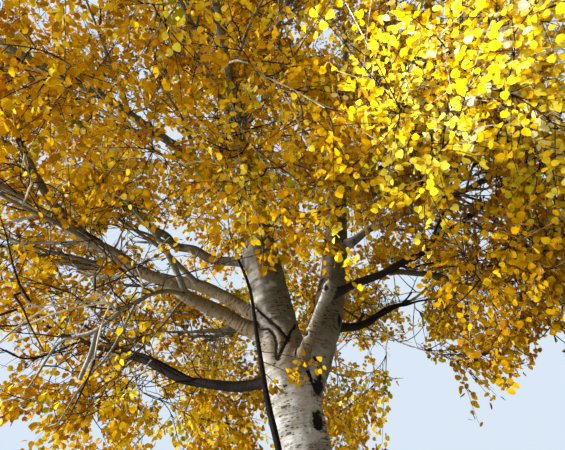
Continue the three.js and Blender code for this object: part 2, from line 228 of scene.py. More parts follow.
# Leafy branches that hang into the open middle of the crown: the limb, where on it, and the tip.
HANGING = [
    ("front_right", 0.55, (0.29, -1.64, 3.33)),
    ("front_right", 0.65, (0.58, -1.75, 3.61)),
    ("front_right", 0.75, (0.84, -1.65, 3.49)),
    ("front_right", 0.85, (1.14, -1.38, 3.33)),
    ("front_right", 0.6, (0.57, -1.38, 3.33)),
    ("front_right", 0.8, (1.05, -1.95, 3.75)),
    ("front_right", 0.35, (-0.05, -0.85, 3.36)),
    ("front_right", 0.4, (0.06, -1.08, 3.20)),
    ("front_right", 0.3, (0.19, -0.79, 3.71)),
    ("front", 0.35, (-0.44, -0.99, 3.14)),
    ("front", 0.42, (-0.29, -1.00, 3.26)),
    ("front", 0.6, (-0.08, -1.60, 3.40)),
    ("front", 0.25, (-0.39, -0.77, 3.54)),
    ("front", 0.3, (-0.19, -1.12, 3.65)),
    ("front", 0.35, (-0.70, -0.95, 3.75)),
    ("front_left", 0.45, (-1.50, -1.70, 3.70)),
    ("front_left", 0.3, (-1.10, -1.20, 3.55)),
    ("stub_side", 0.45, (0.80, -0.90, 2.80)),
    ("stub_side", 0.6, (1.15, -0.90, 2.85)),
    ("right_front", 0.5, (1.35, -1.30, 2.95)),
    ("right_front", 0.3, (0.75, -1.05, 3.40)),
    ("right_front", 0.6, (1.48, -0.75, 3.60)),
    ("right_front", 0.8, (1.90, -1.00, 4.60)),
    ("front_right", 0.9, (1.60, -1.30, 4.70)),
    ("right_front", 0.5, (1.22, -0.20, 2.85)),
    ("right_front", 0.7, (1.60, -0.10, 3.00)),
    ("right_back", 0.4, (1.00, 0.00, 2.70)),
    ("trunk", 0.42, (-1.60, -0.90, 5.60)),
    ("left_fork", 0.9, (-2.20, -0.80, 5.90)),
    ("upper_left", 0.4, (-1.75, -0.35, 3.95)),
    ("upper_left", 0.6, (-2.13, -0.33, 5.30)),
    ("upper_left", 0.7, (-2.00, 0.10, 5.90)),
    ("left_fork", 0.75, (-2.20, -0.90, 4.90)),
    ("left_fork", 0.8, (-2.50, -0.60, 5.30)),
    ("dark_left", 0.7, (-2.15, 0.45, 2.55)),
    ("dark_left", 0.6, (-1.75, 0.35, 2.45)),
    ("back_left", 0.45, (-0.45, 1.30, 4.45)),
    ("back_left", 0.6, (-0.95, 2.00, 2.70)),
    ("back_left", 0.75, (-1.25, 2.60, 2.52)),
    ("back_left", 0.55, (-0.74, 1.77, 3.00)),
    ("back_left", 0.65, (-0.79, 1.84, 2.66)),
    ("back_left", 0.9, (-2.10, 2.50, 2.60)),
    ("back_left", 0.6, (-0.30, 2.10, 4.60)),
    ("back_right", 0.4, (0.10, 1.40, 4.40)),
    ("back_right", 0.55, (0.15, 2.30, 3.20)),
    ("back_right", 0.7, (0.45, 2.50, 2.55)),
    ("back_right", 0.9, (0.62, 2.60, 2.60)),
    ("dark_left", 0.55, (-1.15, 1.30, 2.65)),
    ("dark_left", 0.8, (-2.20, 1.50, 2.70)),
    ("right_back", 0.5, (0.62, 1.25, 2.95)),
    ("right_front", 0.65, (1.68, -0.12, 2.94)),
    ("right_front", 0.75, (1.80, -0.07, 2.88)),
]
# Small leafy twigs that lean from the shoot across the front of the trunk: where on it, and the tip.
SMALL_SPRAYS = [
    (0.64, (-0.058, -0.368, 2.514)),
    (0.61, (-0.194, -0.344, 2.437)),
    (0.58, (-0.327, -0.333, 2.394)),
]
# Bare branches: a name, how dark (painted shade), the radii of foot and tip, and the places they pass, in
# millimetres.
# Each is a row of its own, with its places below.
BARE = [
    (
        "droop_long", 0.1, 13, 4,
        [(-1210, -740, 2700), (-1308, -787, 2546), (-1546, -677, 2492), (-1732, -487, 2344)],
    ),
    (
        "droop_sawn", 0.0, 13, 11,
        [(-1300, -785, 2550), (-1315, -730, 2431), (-1363, -668, 2327)],
    ),
    (
        "droop_thin", 0.1, 9, 4,
        [(-1180, -650, 2810), (-1302, -520, 2539), (-1411, -445, 2403), (-1568, -343, 2200)],
    ),
    (
        "droop_back", 0.7, 10, 5,
        [(-990, -240, 3070), (-1248, -52, 2914), (-1567, 262, 2773)],
    ),
    (
        "dark_bent", 1.0, 20, 7,
        [
            (-2450, 1110, 3370), (-2650, 1093, 3417), (-2941, 977, 3632),
            (-3090, 820, 3940), (-3011, 627, 4361),
        ],
    ),
    (
        "dark_low", 1.0, 15, 5,
        [(-2330, 1060, 3310), (-2624, 1135, 3211), (-2813, 1070, 3133), (-3054, 958, 3188)],
    ),
    (
        "pale_upper", 0.0, 17, 6,
        [(-1650, -430, 3380), (-1900, -330, 3520), (-2350, -250, 3560), (-2800, -150, 3700)],
    ),
]


def seeded(seed):
    """The source's repeatable stream of numbers from 0 to 1."""
    state = seed
    while True:
        state = (state * 16807) % 2147483647
        yield state / 2147483647


def unit(vectors):
    """The same vectors at length one."""
    return vectors / np.maximum(np.linalg.norm(vectors, axis=-1, keepdims=True), 1e-9)


def heading(azimuth, rise):
    """The unit vector at an azimuth and a rise above the level, in degrees."""
    level = math.cos(math.radians(rise))
    turn = math.radians(azimuth)
    return np.array([level * math.cos(turn), level * math.sin(turn), math.sin(math.radians(rise))])


class Curve:
    """A limb's middle line, read by the share of its length."""

    def __init__(self, place):
        self.place = place
        self.steps = np.linspace(0, 1, 201)
        points = place(self.steps)
        lengths = np.linalg.norm(np.diff(points, axis=0), axis=1)
        self.length = lengths.sum()
        self.shares = np.concatenate([[0], np.cumsum(lengths)]) / self.length

    def at(self, share):
        """The points at one share or at several."""
        return self.place(np.atleast_1d(np.interp(share, self.shares, self.steps)))

    def ways(self, share):
        """The unit vectors along the curve at one share or at several."""
        low = np.clip(np.atleast_1d(share) - 1e-3, 0, 1)
        high = np.clip(np.atleast_1d(share) + 1e-3, 0, 1)
        return unit(self.at(high) - self.at(low))

    def point(self, share):
        """The point at one share."""
        return self.at(share)[0]

    def joint(self, share):
        """The point at one share and the unit vector along the curve there."""
        return self.at(share)[0], self.ways(share)[0]

    def share_at_height(self, height):
        """The share at which a rising curve passes a height."""
        shares = np.linspace(0, 1, 400)
        return np.interp(height, self.at(shares)[:, 2], shares)


def curve_through(places):
    """A smooth curve through some places, given in millimetres."""
    knots = np.array(places, float) * MM
    ends = np.vstack([2 * knots[0] - knots[1], knots, 2 * knots[-1] - knots[-2]])

    def place(t):
        scaled = np.clip(t, 0, 1) * (len(knots) - 1)
        i = np.minimum(scaled.astype(int), len(knots) - 2)
        w = (scaled - i)[:, None]
        a, b, c, d = ends[i], ends[i + 1], ends[i + 2], ends[i + 3]
        first, last = (c - a) / 2, (d - b) / 2
        cubic = (2 * b - 2 * c + first + last) * w**3
        return cubic + (3 * c - 3 * b - 2 * first - last) * w**2 + first * w + b

    return Curve(place)


def bezier(*points):
    """A Bezier curve with any number of control points."""
    degree = len(points) - 1
    controls = np.array(points, float)

    def place(t):
        terms = [math.comb(degree, k) * (1 - t) ** (degree - k) * t**k for k in range(degree + 1)]
        return np.stack(terms, axis=-1) @ controls

    return Curve(place)


def wandering(curve, seed, amount):
    """The same curve with gentle bends to and fro, which fade out at both its ends."""
    random = np.random.default_rng(seed)
    sways = [(random.normal(size=3), random.uniform(0.7, 1.3) * pitch) for pitch in (0.9, 2.1, 4.5)]

    def place(t):
        fade = np.sin(np.clip(t, 0, 1) * math.pi) ** 0.6
        moved = curve.at(t)
        for k, (away, pitch) in enumerate(sways):
            wave = np.sin(t * curve.length * pitch * math.pi + k * 2.1)
            moved = moved + away * (amount / (1 + k) * wave * fade)[:, None]
        return moved

    return Curve(place)


class Limb:
    """A limb: its name, its curve, its radius along it, and how dark its bark is painted, as painted shade.
    """

    def __init__(self, name, curve, radius_at, shade_darkness=None):
        self.name = name
        self.curve = curve
        self.radius_at = radius_at
        self.shade_darkness = LIMB_SHADE.get(name, 0.0) if shade_darkness is None else shade_darkness
        count = max(int(curve.length / 0.04), 6)
        self.shares = np.linspace(0, 1, count)
        self.points = curve.at(self.shares)
        self.radii = radius_at(self.shares)
        self.ways, self.across, self.up = carried_frames(curve.ways(self.shares))

    def radius(self, share):
        """The radius at one share."""
        return self.radius_at(np.array([share]))[0]


def carried_frames(ways):
    """The ways along a limb and two cross directions that are carried along untwisted."""
    first = ways[0]
    across = np.array([1.0, 0, 0]) if abs(first[0]) < 0.8 else np.array([0, 1.0, 0])
    sides = []
    for way in ways:
        across = unit(across - way * across.dot(way))
        sides.append(across)
    sides = np.array(sides)
    return ways, sides, np.cross(ways, sides)


def place_on(parent, where):
    """A share of a limb's length, for a place given as a height, as a share, or as its tip."""
    if where == "tip":
        return 1.0
    if where <= 1:
        return where
    return parent.curve.share_at_height(where * MM)


def trunk_radius(height):
    """The trunk's radius at a height in metres, without the lobes of its flare."""
    taper = TRUNK_RADIUS * MM * np.clip(1 - height / (TAPER_HEIGHT * MM), 0, 1) ** TRUNK_TAPER
    return taper + TRUNK_RADIUS * MM * FLARE_SHARE * np.exp(-height / (FLARE_HEIGHT * MM))


def tapering(radius, tip_radius, power):
    """A radius that falls from the foot to the tip."""
    return lambda share: (tip_radius + (radius - tip_radius) * (1 - share) ** power) * MM


class Mass:
    """A mass of foliage: its space, and the stem and twigs that carry it."""

    def __init__(self, name, middle, spread, start, way, radius, seed):
        self.name = name
        self.middle = middle
        self.spread = spread
        self.radius = radius
        self.seed = seed
        self.half = np.array([spread, spread, spread * MASS_FLATNESS])
        along = middle - start
        bend = start + way * np.linalg.norm(along) * 0.5
        end = middle + unit(along) * spread * STEM_BEYOND + UP * spread * STEM_LIFT
        self.stem = bezier(start, bend, end)
        self.twigs = self.first_twigs()

    def first_twigs(self):
        """The source's twigs: each runs from the stem to one of the evenly spread tips."""
        numbers = seeded(self.seed)
        turn = next(numbers) * 2 * math.pi
        start, end = self.stem.point(0), self.stem.point(1)
        length = np.linalg.norm(end - start)
        stem_way = (end - start) / length
        twigs = []
        for k in range(TWIGS):
            height = 1 - (2 * (k + 0.5)) / TWIGS
            level = math.sqrt(1 - height * height)
            angle = k * GOLDEN_TURN + turn
            away = np.array([level * math.cos(angle), level * math.sin(angle), height])
            reach = self.half - self.spread * LEAF_SHARE * 0.93
            tip = self.middle + away * reach * (0.94 + 0.06 * next(numbers))
            forward = (tip - start).dot(stem_way) / length
            share = min(max(forward - 0.3, 0.16), 0.9)
            twigs.append((share, self.stem.point(share), tip))
            # The source uses one more number for each twig.
            next(numbers)
        return twigs

    def holds(self, points, margin):
        """Which of some points lie in a share of the mass's own space, on its side of every other mass."""
        away = points - self.middle
        kept = ((away / (self.half * margin)) ** 2).sum(axis=1) <= 1
        for other in MASSES:
            if other is self:
                continue
            apart = other.middle - self.middle
            width = np.linalg.norm(apart)
            share = (width**2 + self.spread**2 - other.spread**2) / (2 * width)
            kept &= share - away @ (apart / width) > 0.0
        return kept


def grow_limbs():
    """Every limb and every mass, from the named sizes, as the part's source grows them."""
    trunk_curve = curve_through(TRUNK_SPINE)
    trunk = Limb("trunk", trunk_curve, lambda share: trunk_radius(trunk_curve.at(share)[:, 2]))
    leader = Limb("leader", curve_through(LEADER_SPINE), tapering(LEADER_RADIUS, LEADER_TIP_RADIUS, 0.9))
    start = trunk.curve.point(place_on(trunk, STUB["at"]))
    end = start + heading(STUB["azimuth"], STUB["rise"]) * STUB["length"] * MM
    stub = Limb("stub", bezier(start, end), tapering(STUB["radius"], STUB["tip_radius"], 1))
    shoot = Limb("shoot", wandering(curve_through(SHOOT_SPINE), 5, 0.010), tapering(27, 9, 1))
    limbs = {"trunk": trunk, "leader": leader, "stub": stub, "shoot": shoot}
    masses = []
    for name, source, at, rise, radius, azimuth, out, height, spread in LOWER_BOUGHS + tier_boughs():
        middle = (heading(azimuth, 0) * out + np.array([CROWN_AXIS_X, 0, height])) * MM
        bough = grow_bough(name, limbs[source], at, rise, radius, middle, spread * MM)
        limbs[name] = bough
        tip, way = bough.curve.joint(1)
        masses.append(Mass(name, middle, spread * MM, tip, way, bough.radius(1.0) * 0.9, 11 + len(masses)))
    for name, source, at, radius, middle, spread in DIRECT_MASSES:
        parent = limbs[source]
        middle = np.array(middle) * MM
        start = parent.curve.point(place_on(parent, at))
        way = parent.curve.ways(1)[0] if at == "tip" else unit(middle - start)
        radius = radius * MM if radius else parent.radius(1.0) * 0.9
        masses.append(Mass(name, middle, spread * MM, start, way, radius, 11 + len(masses)))
    return limbs, masses


def tier_boughs():
    """The boughs of the tiers, written out one by one."""
    boughs = []
    for name, azimuths, at, step, rise, radius, out, height, spread in TIERS:
        for i, azimuth in enumerate(azimuths):
            source = "leader" if math.cos(math.radians(azimuth)) > LEADER_SIDE else "trunk"
            level = height + (TIER_SWAY if i % 2 else -TIER_SWAY)
            leaves_at = at + i * step
            boughs.append((f"{name}_{i + 1}", source, leaves_at, rise, radius, azimuth, out, level, spread))
    return boughs


def grow_bough(name, parent, at, rise, radius, middle, spread):
    """A bough that leaves its parent at its rise and swings round to enter its mass."""
    start = parent.curve.point(place_on(parent, at))
    inward = middle - start
    azimuth = math.degrees(math.atan2(inward[1], inward[0]))
    entry = unit(inward)
    tip = middle - entry * spread * STEM_SHARE
    reach = np.linalg.norm(tip - start)
    leave = start + heading(azimuth, rise) * reach * 0.4
    curve = bezier(start, leave, tip - entry * reach * 0.25, tip)
    curve = wandering(curve, int(at * 10) + int(azimuth % 360), 0.022)
    return Limb(name, curve, tapering(radius, radius * 0.5, 0.8))


def side_boughs(boughs):
    """The side boughs: each leaves its bough in turn to one hand or the other and bends back along it."""
    sides = []
    for bough in boughs:
        random = np.random.default_rng(int(bough.curve.length * 1e4))
        for k, share in enumerate((0.3, 0.46, 0.62, 0.8)):
            start, way = bough.curve.joint(share)
            level = unit(np.cross(way, UP)) * (1 if k % 2 else -1)
            out = unit(way * 0.75 + level * random.uniform(0.6, 1.0) + UP * random.uniform(-0.35, 0.5))
            reach = bough.curve.length * random.uniform(0.32, 0.46) * (1.15 - share * 0.4)
            tip = start + unit(out + way * 0.5 + UP * random.uniform(-0.1, 0.25)) * reach
            leave = start + out * reach * 0.4
            curve = wandering(bezier(start, leave, tip), k + int(share * 100), 0.022)
            radius = bough.radius(share) / MM * random.uniform(0.42, 0.6)
            name = f"{bough.name}_side_{k + 1}"
            sides.append(Limb(name, curve, tapering(radius, 5, 0.8), bough.shade_darkness))
    return sides


LIMBS, MASSES = grow_limbs()
BOUGHS = [LIMBS[name] for name in LIMBS if name not in (*STEMS, "shoot", "drooping")]
SIDES = side_boughs(BOUGHS)
BARE_LIMBS = [
    Limb(name, wandering(curve_through(places), k + 3, 0.012), tapering(radius, tip_radius, 0.8), dark)
    for k, (name, dark, radius, tip_radius, places) in enumerate(BARE)
]


# The radii of the finer shoots, in metres.
BRANCHLET_TIP_RADIUS = 0.0025
TWIG_RADIUS = 0.0030
TWIG_TIP_RADIUS = 0.0013
# The share of the leafy twigs that have pale bark, as painted light for twigs in sunlight; the rest are near
# black, as painted shade.
PALE_TWIGS = 0.3
# The half width of a mass of middle size, in metres.
MIDDLE_SPREAD = 1.3
# The shares of a mass's space that the tips of its branchlets and of its twigs keep to.
BRANCHLET_SPACE = 0.93
TWIG_SPACE = 0.97
# How far leafy twigs keep off the skin of the limbs, in metres.
WOOD_CLEARANCE = 0.03
# Towards the viewer, past this place on the second axis, the crown's underside rises at this slope.
CLEARING_EDGE = -0.4
CLEARING_SLOPE = 0.5
# Above this height, in metres, the trunk and the leader bear leafy branches of their own.
LEAFY_STEM_HEIGHT = 4.6


class Shoots:
    """Bare shoots of one size, kept as rows of points and radii, each with the same number of points."""

    def __init__(self):
        self.points = []
        self.radii = []

    def add(self, points, radius, tip_radius):
        self.points.append(points)
        self.radii.append(np.linspace(radius, tip_radius, len(points)))


def arched(start, way, end, count, lift=0.0):
    """Points on a shoot that sets off in its way and arches over to its end."""
    reach = np.linalg.norm(end - start)
    bend = start + way * reach * 0.5 + UP * lift * reach
    t = np.linspace(0, 1, count)[:, None]
    return (1 - t) ** 2 * start + 2 * t * (1 - t) * bend + t**2 * end


class Growth:
    """The crown as it grows: branches, branchlets and twigs, and the sprays that bear leaves."""

    def __init__(self, settings):
        self.random = np.random.default_rng(settings.seed)
        self.branches = Shoots()
        self.branchlets = Shoots()
        self.twigs = Shoots()
        self.pale_twigs = Shoots()
        self.sprays = []
        self.dealt = []
        self.settings = settings
        self.woods = np.vstack([limb.points[::2] for limb in LIMBS.values()])
        self.wood_radii = np.concatenate([limb.radii[::2] for limb in LIMBS.values()])

    def any_way(self, lift=0.0):
        """A random unit vector, which points up more often where there is a lift."""
        return unit(self.random.normal(size=3) + UP * lift)

    def clear_of_wood(self, points, margin):
        """Which of some points keep clear of every limb."""
        apart = np.linalg.norm(points[:, None] - self.woods[None], axis=2)
        return (apart - self.wood_radii).min(axis=1) > margin

    def out_of_wedge(self, point):
        """Whether a point keeps out of the open wedge in front of the fork."""
        share = (point - VIEWPOINT).dot(WEDGE_AXIS) / WEDGE_AXIS.dot(WEDGE_AXIS)
        away = np.linalg.norm(point - VIEWPOINT - WEDGE_AXIS * share)
        return share < 0 or share > WEDGE_REACH or away > WEDGE_HALF_WIDTH * share + WEDGE_POINT_WIDTH

    def off_the_gaps(self, points):
        """Which of some points keep out of the open gaps of the crown."""
        away = points - VIEWPOINT
        forward = np.maximum(away @ VIEW_FORWARD, 0.1)
        seen = np.stack([away[:, 0], away @ VIEW_UP], axis=1) / forward[:, None]
        reach = np.linalg.norm(seen[:, None] - CROWN_GAPS[:, :2], axis=2) - CROWN_GAPS[:, 2]
        return reach.min(axis=1) > 0

    def in_the_box(self, point):
        """Whether a spray that ends at a point keeps its leaves within the frame's own size."""
        return bool(((point > BOX_LOW - BOX_MARGIN) & (point < BOX_HIGH + BOX_MARGIN)).all())

    def over_the_clearing(self, point):
        """Whether a point is above the crown's underside, which rises towards the open front."""
        rise = CLEARING_SLOPE * max(0.0, CLEARING_EDGE - point[1])
        return point[2] > self.settings.lowest_leaf + rise

    def has_room(self, point):
        """Whether a shoot may end at a point: in the crown, and in none of its open places."""
        inside = self.out_of_wedge(point) and self.in_the_box(point) and self.over_the_clearing(point)
        return inside and self.off_the_gaps(point[None])[0]

    def spread_tips(self, mass, count):
        """Tips that are spread evenly through a mass's space, more of them near its outside."""
        tips = np.zeros((0, 3))
        for _ in range(count):
            ways = unit(self.random.normal(size=(12, 3)))
            reach = self.random.random((12, 1)) ** (1 / 3.6)
            tries = mass.middle + ways * mass.half * reach * BRANCHLET_SPACE
            inside = ((tries > BOX_LOW) & (tries < BOX_HIGH)).all(axis=1)
            tries = tries[mass.holds(tries, BRANCHLET_SPACE) & inside & self.off_the_gaps(tries)]
            if len(tries) == 0:
                continue
            if len(tips) == 0:
                tips = tries[:1]
                continue
            nearest = np.linalg.norm(tries[:, None] - tips[None], axis=2).min(axis=1)
            tips = np.vstack([tips, tries[nearest.argmax()]])
        return tips

    def fill_mass(self, mass):
        """Grows a mass: its stem and first twigs, branchlets from those, and twigs in sprays."""
        kept = KEPT.get(mass.name, 1.0)
        stem = mass.stem.at(np.linspace(0, 1, 8))
        self.branches.add(stem, mass.radius, mass.radius * STEM_TIP_SHARE * 0.6)
        bones = [stem]
        for share, start, tip in mass.twigs:
            way = unit(unit(tip - start) + mass.stem.ways(share)[0] * 0.6)
            branch = arched(start, way, tip, count=8, lift=0.04)
            radius = mass.radius * (1 - share * (1 - STEM_TIP_SHARE)) * 0.6
            self.branches.add(branch, radius, tip_radius=0.005)
            bones.append(branch)
        joints = np.vstack([bone[1:] for bone in bones])
        ways = np.vstack([unit(np.diff(bone, axis=0)) for bone in bones])
        wanted = self.settings.branchlets * (mass.spread / MIDDLE_SPREAD) ** 2
        tips = self.spread_tips(mass, max(int(wanted), 6))
        order = np.linalg.norm(tips - mass.middle, axis=1).argsort()
        for tip in tips[order]:
            start, way = self.nearest_joint(joints, ways, tip)
            path = arched(start, way, tip, count=5, lift=0.05)
            reach = np.linalg.norm(tip - start)
            path[1:-1] += self.random.normal(0, 0.012, (3, 3))
            self.branchlets.add(path, 0.0045 + 0.006 * min(reach, 1), BRANCHLET_TIP_RADIUS)
            joints = np.vstack([joints, path[1:]])
            ways = np.vstack([ways, unit(np.diff(path, axis=0))])
            self.add_sprays(path, kept, mass)

    def nearest_joint(self, joints, ways, tip):
        """The joint of the wood grown so far from which a branchlet reaches its tip with least bending."""
        gap = tip - joints
        reach = np.linalg.norm(gap, axis=1)
        ahead = (gap * ways).sum(axis=1) / np.maximum(reach, 1e-6)
        cost = reach * (1.6 - ahead) + 0.25 * (reach < 0.12)
        best = cost.argmin()
        return joints[best], unit(ways[best] * 0.7 + unit(gap[best]) * 0.6)

    def add_sprays(self, path, kept, mass=None):
        """Grows leafy twigs along a branchlet, and one from its tip."""
        along = unit(np.diff(path, axis=0))
        count = self.settings.twigs
        shares = np.append(self.random.uniform(0.2, 0.98, count - 1), 1.0)
        for k, share in enumerate(shares):
            i = min(int(share * len(along)), len(along) - 1)
            within = share * len(along) - i
            start = path[i] * (1 - within) + path[i + 1] * within
            side = self.any_way(-0.1)
            side = unit(side - along[i] * side.dot(along[i]))
            lean = 0.0 if k == count - 1 else self.random.uniform(0.6, 1.2)
            way = unit(along[i] * math.cos(lean) + side * math.sin(lean))
            length = self.random.uniform(0.2, 0.42) * self.settings.twig_length
            droop = self.random.uniform(0.0, 0.35)
            end = start + way * length - UP * length * droop
            if mass is not None and not mass.holds(end[None], TWIG_SPACE)[0]:
                continue
            if not self.clear_of_wood(np.array([end, (start + end) / 2]), WOOD_CLEARANCE).all():
                continue
            if not (self.has_room(end) and self.off_the_gaps(start[None])[0]):
                continue
            twig = arched(start, way, end, count=3)
            shoots = self.pale_twigs if self.random.random() < PALE_TWIGS else self.twigs
            shoots.add(twig, TWIG_RADIUS, TWIG_TIP_RADIUS)
            if self.random.random() < kept:
                self.sprays.append(twig)
                self.dealt.append(self.tint_of(start))

    def tint_of(self, point):
        """A number from 0 to 1 that picks a spray's tint, or -1 for cream. Sprays that are near each other
        are alike, with some scatter. The low sprays at the front get pale tints and cream as painted light,
        and those at the low right a deeper gold as painted shade."""
        drift = noise.noise(Vector(point * 0.8)) * 0.38
        chance = self.random.random()
        from_sunlit = np.linalg.norm(point - SUNLIT_SPRAYS)
        # Painted light: the low front sprays get pale tints, and cream as a painted highlight.
        if from_sunlit < SUNLIT_REACH:
            return -1.0 if chance < HIGHLIGHT_SHARE * (1 - from_sunlit / HIGHLIGHT_REACH) else 0.07 + 0.4 * chance
        # Painted shade: the low right sprays get a deeper gold.
        if np.linalg.norm(point - SHADED_SPRAYS) < SHADED_REACH:
            return 0.45 + 0.5 * chance
        return (chance * 0.75 + 0.125 + drift) % 1.0

    def leafy_branch(self, start, way, tip, radius, kept, spread, joints=(2, 3, 4, 5, 6, 7)):
        """A branch with leafy branchlets all along its outer part."""
        path = arched(start, way, tip, count=8, lift=0.05)
        path[2:-1] += self.random.normal(0, 0.012, (5, 3))
        self.branches.add(path, radius, tip_radius=0.003)
        ways = unit(np.diff(path, axis=0))
        for i in joints:
            twig_way = unit(ways[i - 1] * 0.8 + self.any_way())
            end = path[i] + twig_way * spread * self.random.uniform(0.5, 1.1)
            if not (self.over_the_clearing(end) and self.off_the_gaps(end[None])[0]):
                continue
            branchlet = arched(path[i], unit(ways[i - 1] + twig_way), end, count=5, lift=0.03)
            self.branchlets.add(branchlet, 0.0055, BRANCHLET_TIP_RADIUS)
            self.add_sprays(branchlet, kept)

    def fill_limb(self, limb, low, high, spacing, reach, kept):
        """Grows leafy branches from the sides of a limb, inside the crown."""
        length = limb.curve.length * (high - low)
        count = max(int(length / spacing), 1)
        for k in range(count):
            share = low + (high - low) * (k + self.random.random()) / count
            point, way = limb.curve.joint(share)
            radius = limb.radius(share)
            side = self.any_way(0.9)
            side = unit(side - way * side.dot(way))
            out = unit(side + way * self.random.uniform(0.3, 0.9))
            start = point + side * radius * 0.6
            tip = start + out * (radius + reach * self.random.uniform(0.5, 1.0))
            if tip[2] < self.settings.lowest_leaf or not self.off_the_gaps(tip[None])[0]:
                continue
            branch_radius = min(0.009, radius * 0.6)
            self.leafy_branch(start, unit(side + way * 0.2), tip, branch_radius, kept, reach * 0.5)

    def bare_shoots(self, limb, count, reach):
        """Grows forked bare shoots from a limb, as old leafless twigs."""
        for share in self.random.uniform(0.25, 1.0, count):
            point, way = limb.curve.joint(share)
            out = unit(self.any_way() + way * self.random.uniform(0.3, 1.1))
            end = point + out * reach * self.random.uniform(0.5, 1.2)
            if not self.has_room(end):
                continue
            path = arched(point, unit(out + way), end, count=5, lift=0.06)
            path[1:] += self.random.normal(0, 0.018, (4, 3))
            self.branchlets.add(path, 0.006, BRANCHLET_TIP_RADIUS)
            for i in (2, 3, 4):
                turn = unit(unit(path[i] - path[i - 1]) + self.any_way() * 0.9)
                tip = path[i] + turn * reach * self.random.uniform(0.25, 0.5)
                twig = arched(path[i], turn, tip, count=3, lift=0.1)
                self.twigs.add(twig, radius=0.0035, tip_radius=0.0015)

    def grow(self):
        """Grows the whole crown."""
        for mass in MASSES:
            self.fill_mass(mass)
        for limb in (LIMBS["trunk"], LIMBS["leader"]):
            low = limb.curve.share_at_height(LEAFY_STEM_HEIGHT)
            self.fill_limb(limb, low, high=0.97, spacing=0.5, reach=0.9, kept=0.9)
        for limb in BOUGHS:
            kept = KEPT.get(limb.name, 0.9) * 0.9
            self.fill_limb(limb, low=0.4, high=0.98, spacing=0.8, reach=0.6, kept=kept)
        for limb in SIDES:
            kept = KEPT.get(limb.name.split("_side_")[0], 0.9) * 0.9
            self.fill_limb(limb, low=0.3, high=0.98, spacing=0.42, reach=0.6, kept=kept)
        drooping = LIMBS["drooping"]
        self.fill_limb(drooping, low=0.5, high=1.0, spacing=0.3, reach=0.5, kept=KEPT["drooping"])
        for limb in BOUGHS:
            self.bare_shoots(limb, count=5, reach=0.6)
        for limb in SIDES:
            self.bare_shoots(limb, count=3, reach=0.45)
        for limb in BARE_LIMBS:
            self.bare_shoots(limb, count=9, reach=0.4)
        for name in ("left", "low_left", "dark_left", "left_fork", "drooping"):
            self.bare_shoots(LIMBS[name], count=8, reach=0.7)
        joints = (3, 4, 5, 5, 6, 6, 7, 7)
        for name, share, tip in HANGING:
            start, way = LIMBS[name].curve.joint(share)
            way = unit(way * 0.6 - UP * 0.5)
            self.leafy_branch(start, way, np.array(tip), radius=0.011, kept=1.0, spread=0.4, joints=joints)
        for share, tip in SMALL_SPRAYS:
            start, end = LIMBS["shoot"].curve.point(share), np.array(tip)
            path = arched(start, unit(end - start), end, count=5, lift=0.08)
            self.branchlets.add(path, radius=0.0035, tip_radius=0.0018)
            self.sprays.append(path[2:])
            self.dealt.append(self.random.uniform(0.6, 0.9))
        return self


def tubes(shoots, sides):
    """The points and faces of every shoot in a group, as thin tubes with this many sides."""
    points = np.array(shoots.points)
    radii = np.array(shoots.radii)
    count, rings = points.shape[:2]
    ways = np.empty_like(points)
    ways[:, 1:-1] = points[:, 2:] - points[:, :-2]
    ways[:, 0] = points[:, 1] - points[:, 0]
    ways[:, -1] = points[:, -1] - points[:, -2]
    ways = unit(ways)
    level = np.abs(ways[..., 2:3]) > 0.9
    across = unit(np.cross(ways, np.where(level, np.array([1.0, 0, 0]), UP)))
    other = np.cross(ways, across)
    angles = np.arange(sides) * 2 * math.pi / sides
    cosines, sines = np.cos(angles)[:, None], np.sin(angles)[:, None]
    round_ways = across[..., None, :] * cosines + other[..., None, :] * sines
    rows = points[:, :, None] + round_ways * radii[:, :, None, None]
    ring = np.arange(sides)
    step = np.arange(rings - 1)[:, None] * sides
    quads = np.stack(
        [step + ring, step + (ring + 1) % sides, step + sides + (ring + 1) % sides, step + sides + ring],
        axis=-1,
    ).reshape(-1, 4)
    shift = (np.arange(count) * rings * sides)[:, None, None]
    return rows.reshape(-1, 3), (quads[None] + shift).reshape(-1, 4)


def mesh_object(name, points, faces):
    """A mesh object from arrays of points and of faces that all have the same number of corners."""
    mesh = bpy.data.meshes.new(name)
    corners = faces.shape[1]
    mesh.vertices.add(len(points))
    mesh.vertices.foreach_set("co", points.astype(np.float32).ravel())
    mesh.loops.add(faces.size)
    mesh.loops.foreach_set("vertex_index", faces.astype(np.int32).ravel())
    mesh.polygons.add(len(faces))
    mesh.polygons.foreach_set("loop_start", np.arange(0, faces.size, corners, dtype=np.int32))
    mesh.polygons.foreach_set("use_smooth", np.ones(len(faces), dtype=bool))
    mesh.update(calc_edges=True)
    mesh.validate()
    obj = bpy.data.objects.new(name, mesh)
    bpy.context.scene.collection.objects.link(obj)
    return obj


# A leaf's outline, from its foot to its tip, for a leaf of length 1 that points along the second axis, and
# how far each of those points curls up. Two more points at the twig end the stalk.
LEAF_OUTLINE = np.array([
    (0.0, 0.0),
    (0.31, 0.04),
    (-0.31, 0.04),
    (0.49, 0.36),
    (-0.49, 0.36),
    (0.33, 0.74),
    (-0.33, 0.74),
    (0.0, 1.0),
])
LEAF_CURL = np.array([0.0, 0.35, 0.35, 1.0, 1.0, 0.5, 0.5, -0.6])
LEAF_FACES = np.array([(0, 1, 2), (1, 3, 4), (1, 4, 2), (3, 5, 6), (3, 6, 4), (5, 7, 6), (8, 9, 0)])
STALK_HALF_WIDTH = 0.0011
# The middle of the shaded heart of the crown, where the leaves are smaller, in metres.
CROWN_HEART = np.array([-0.25, -0.9, 3.1])


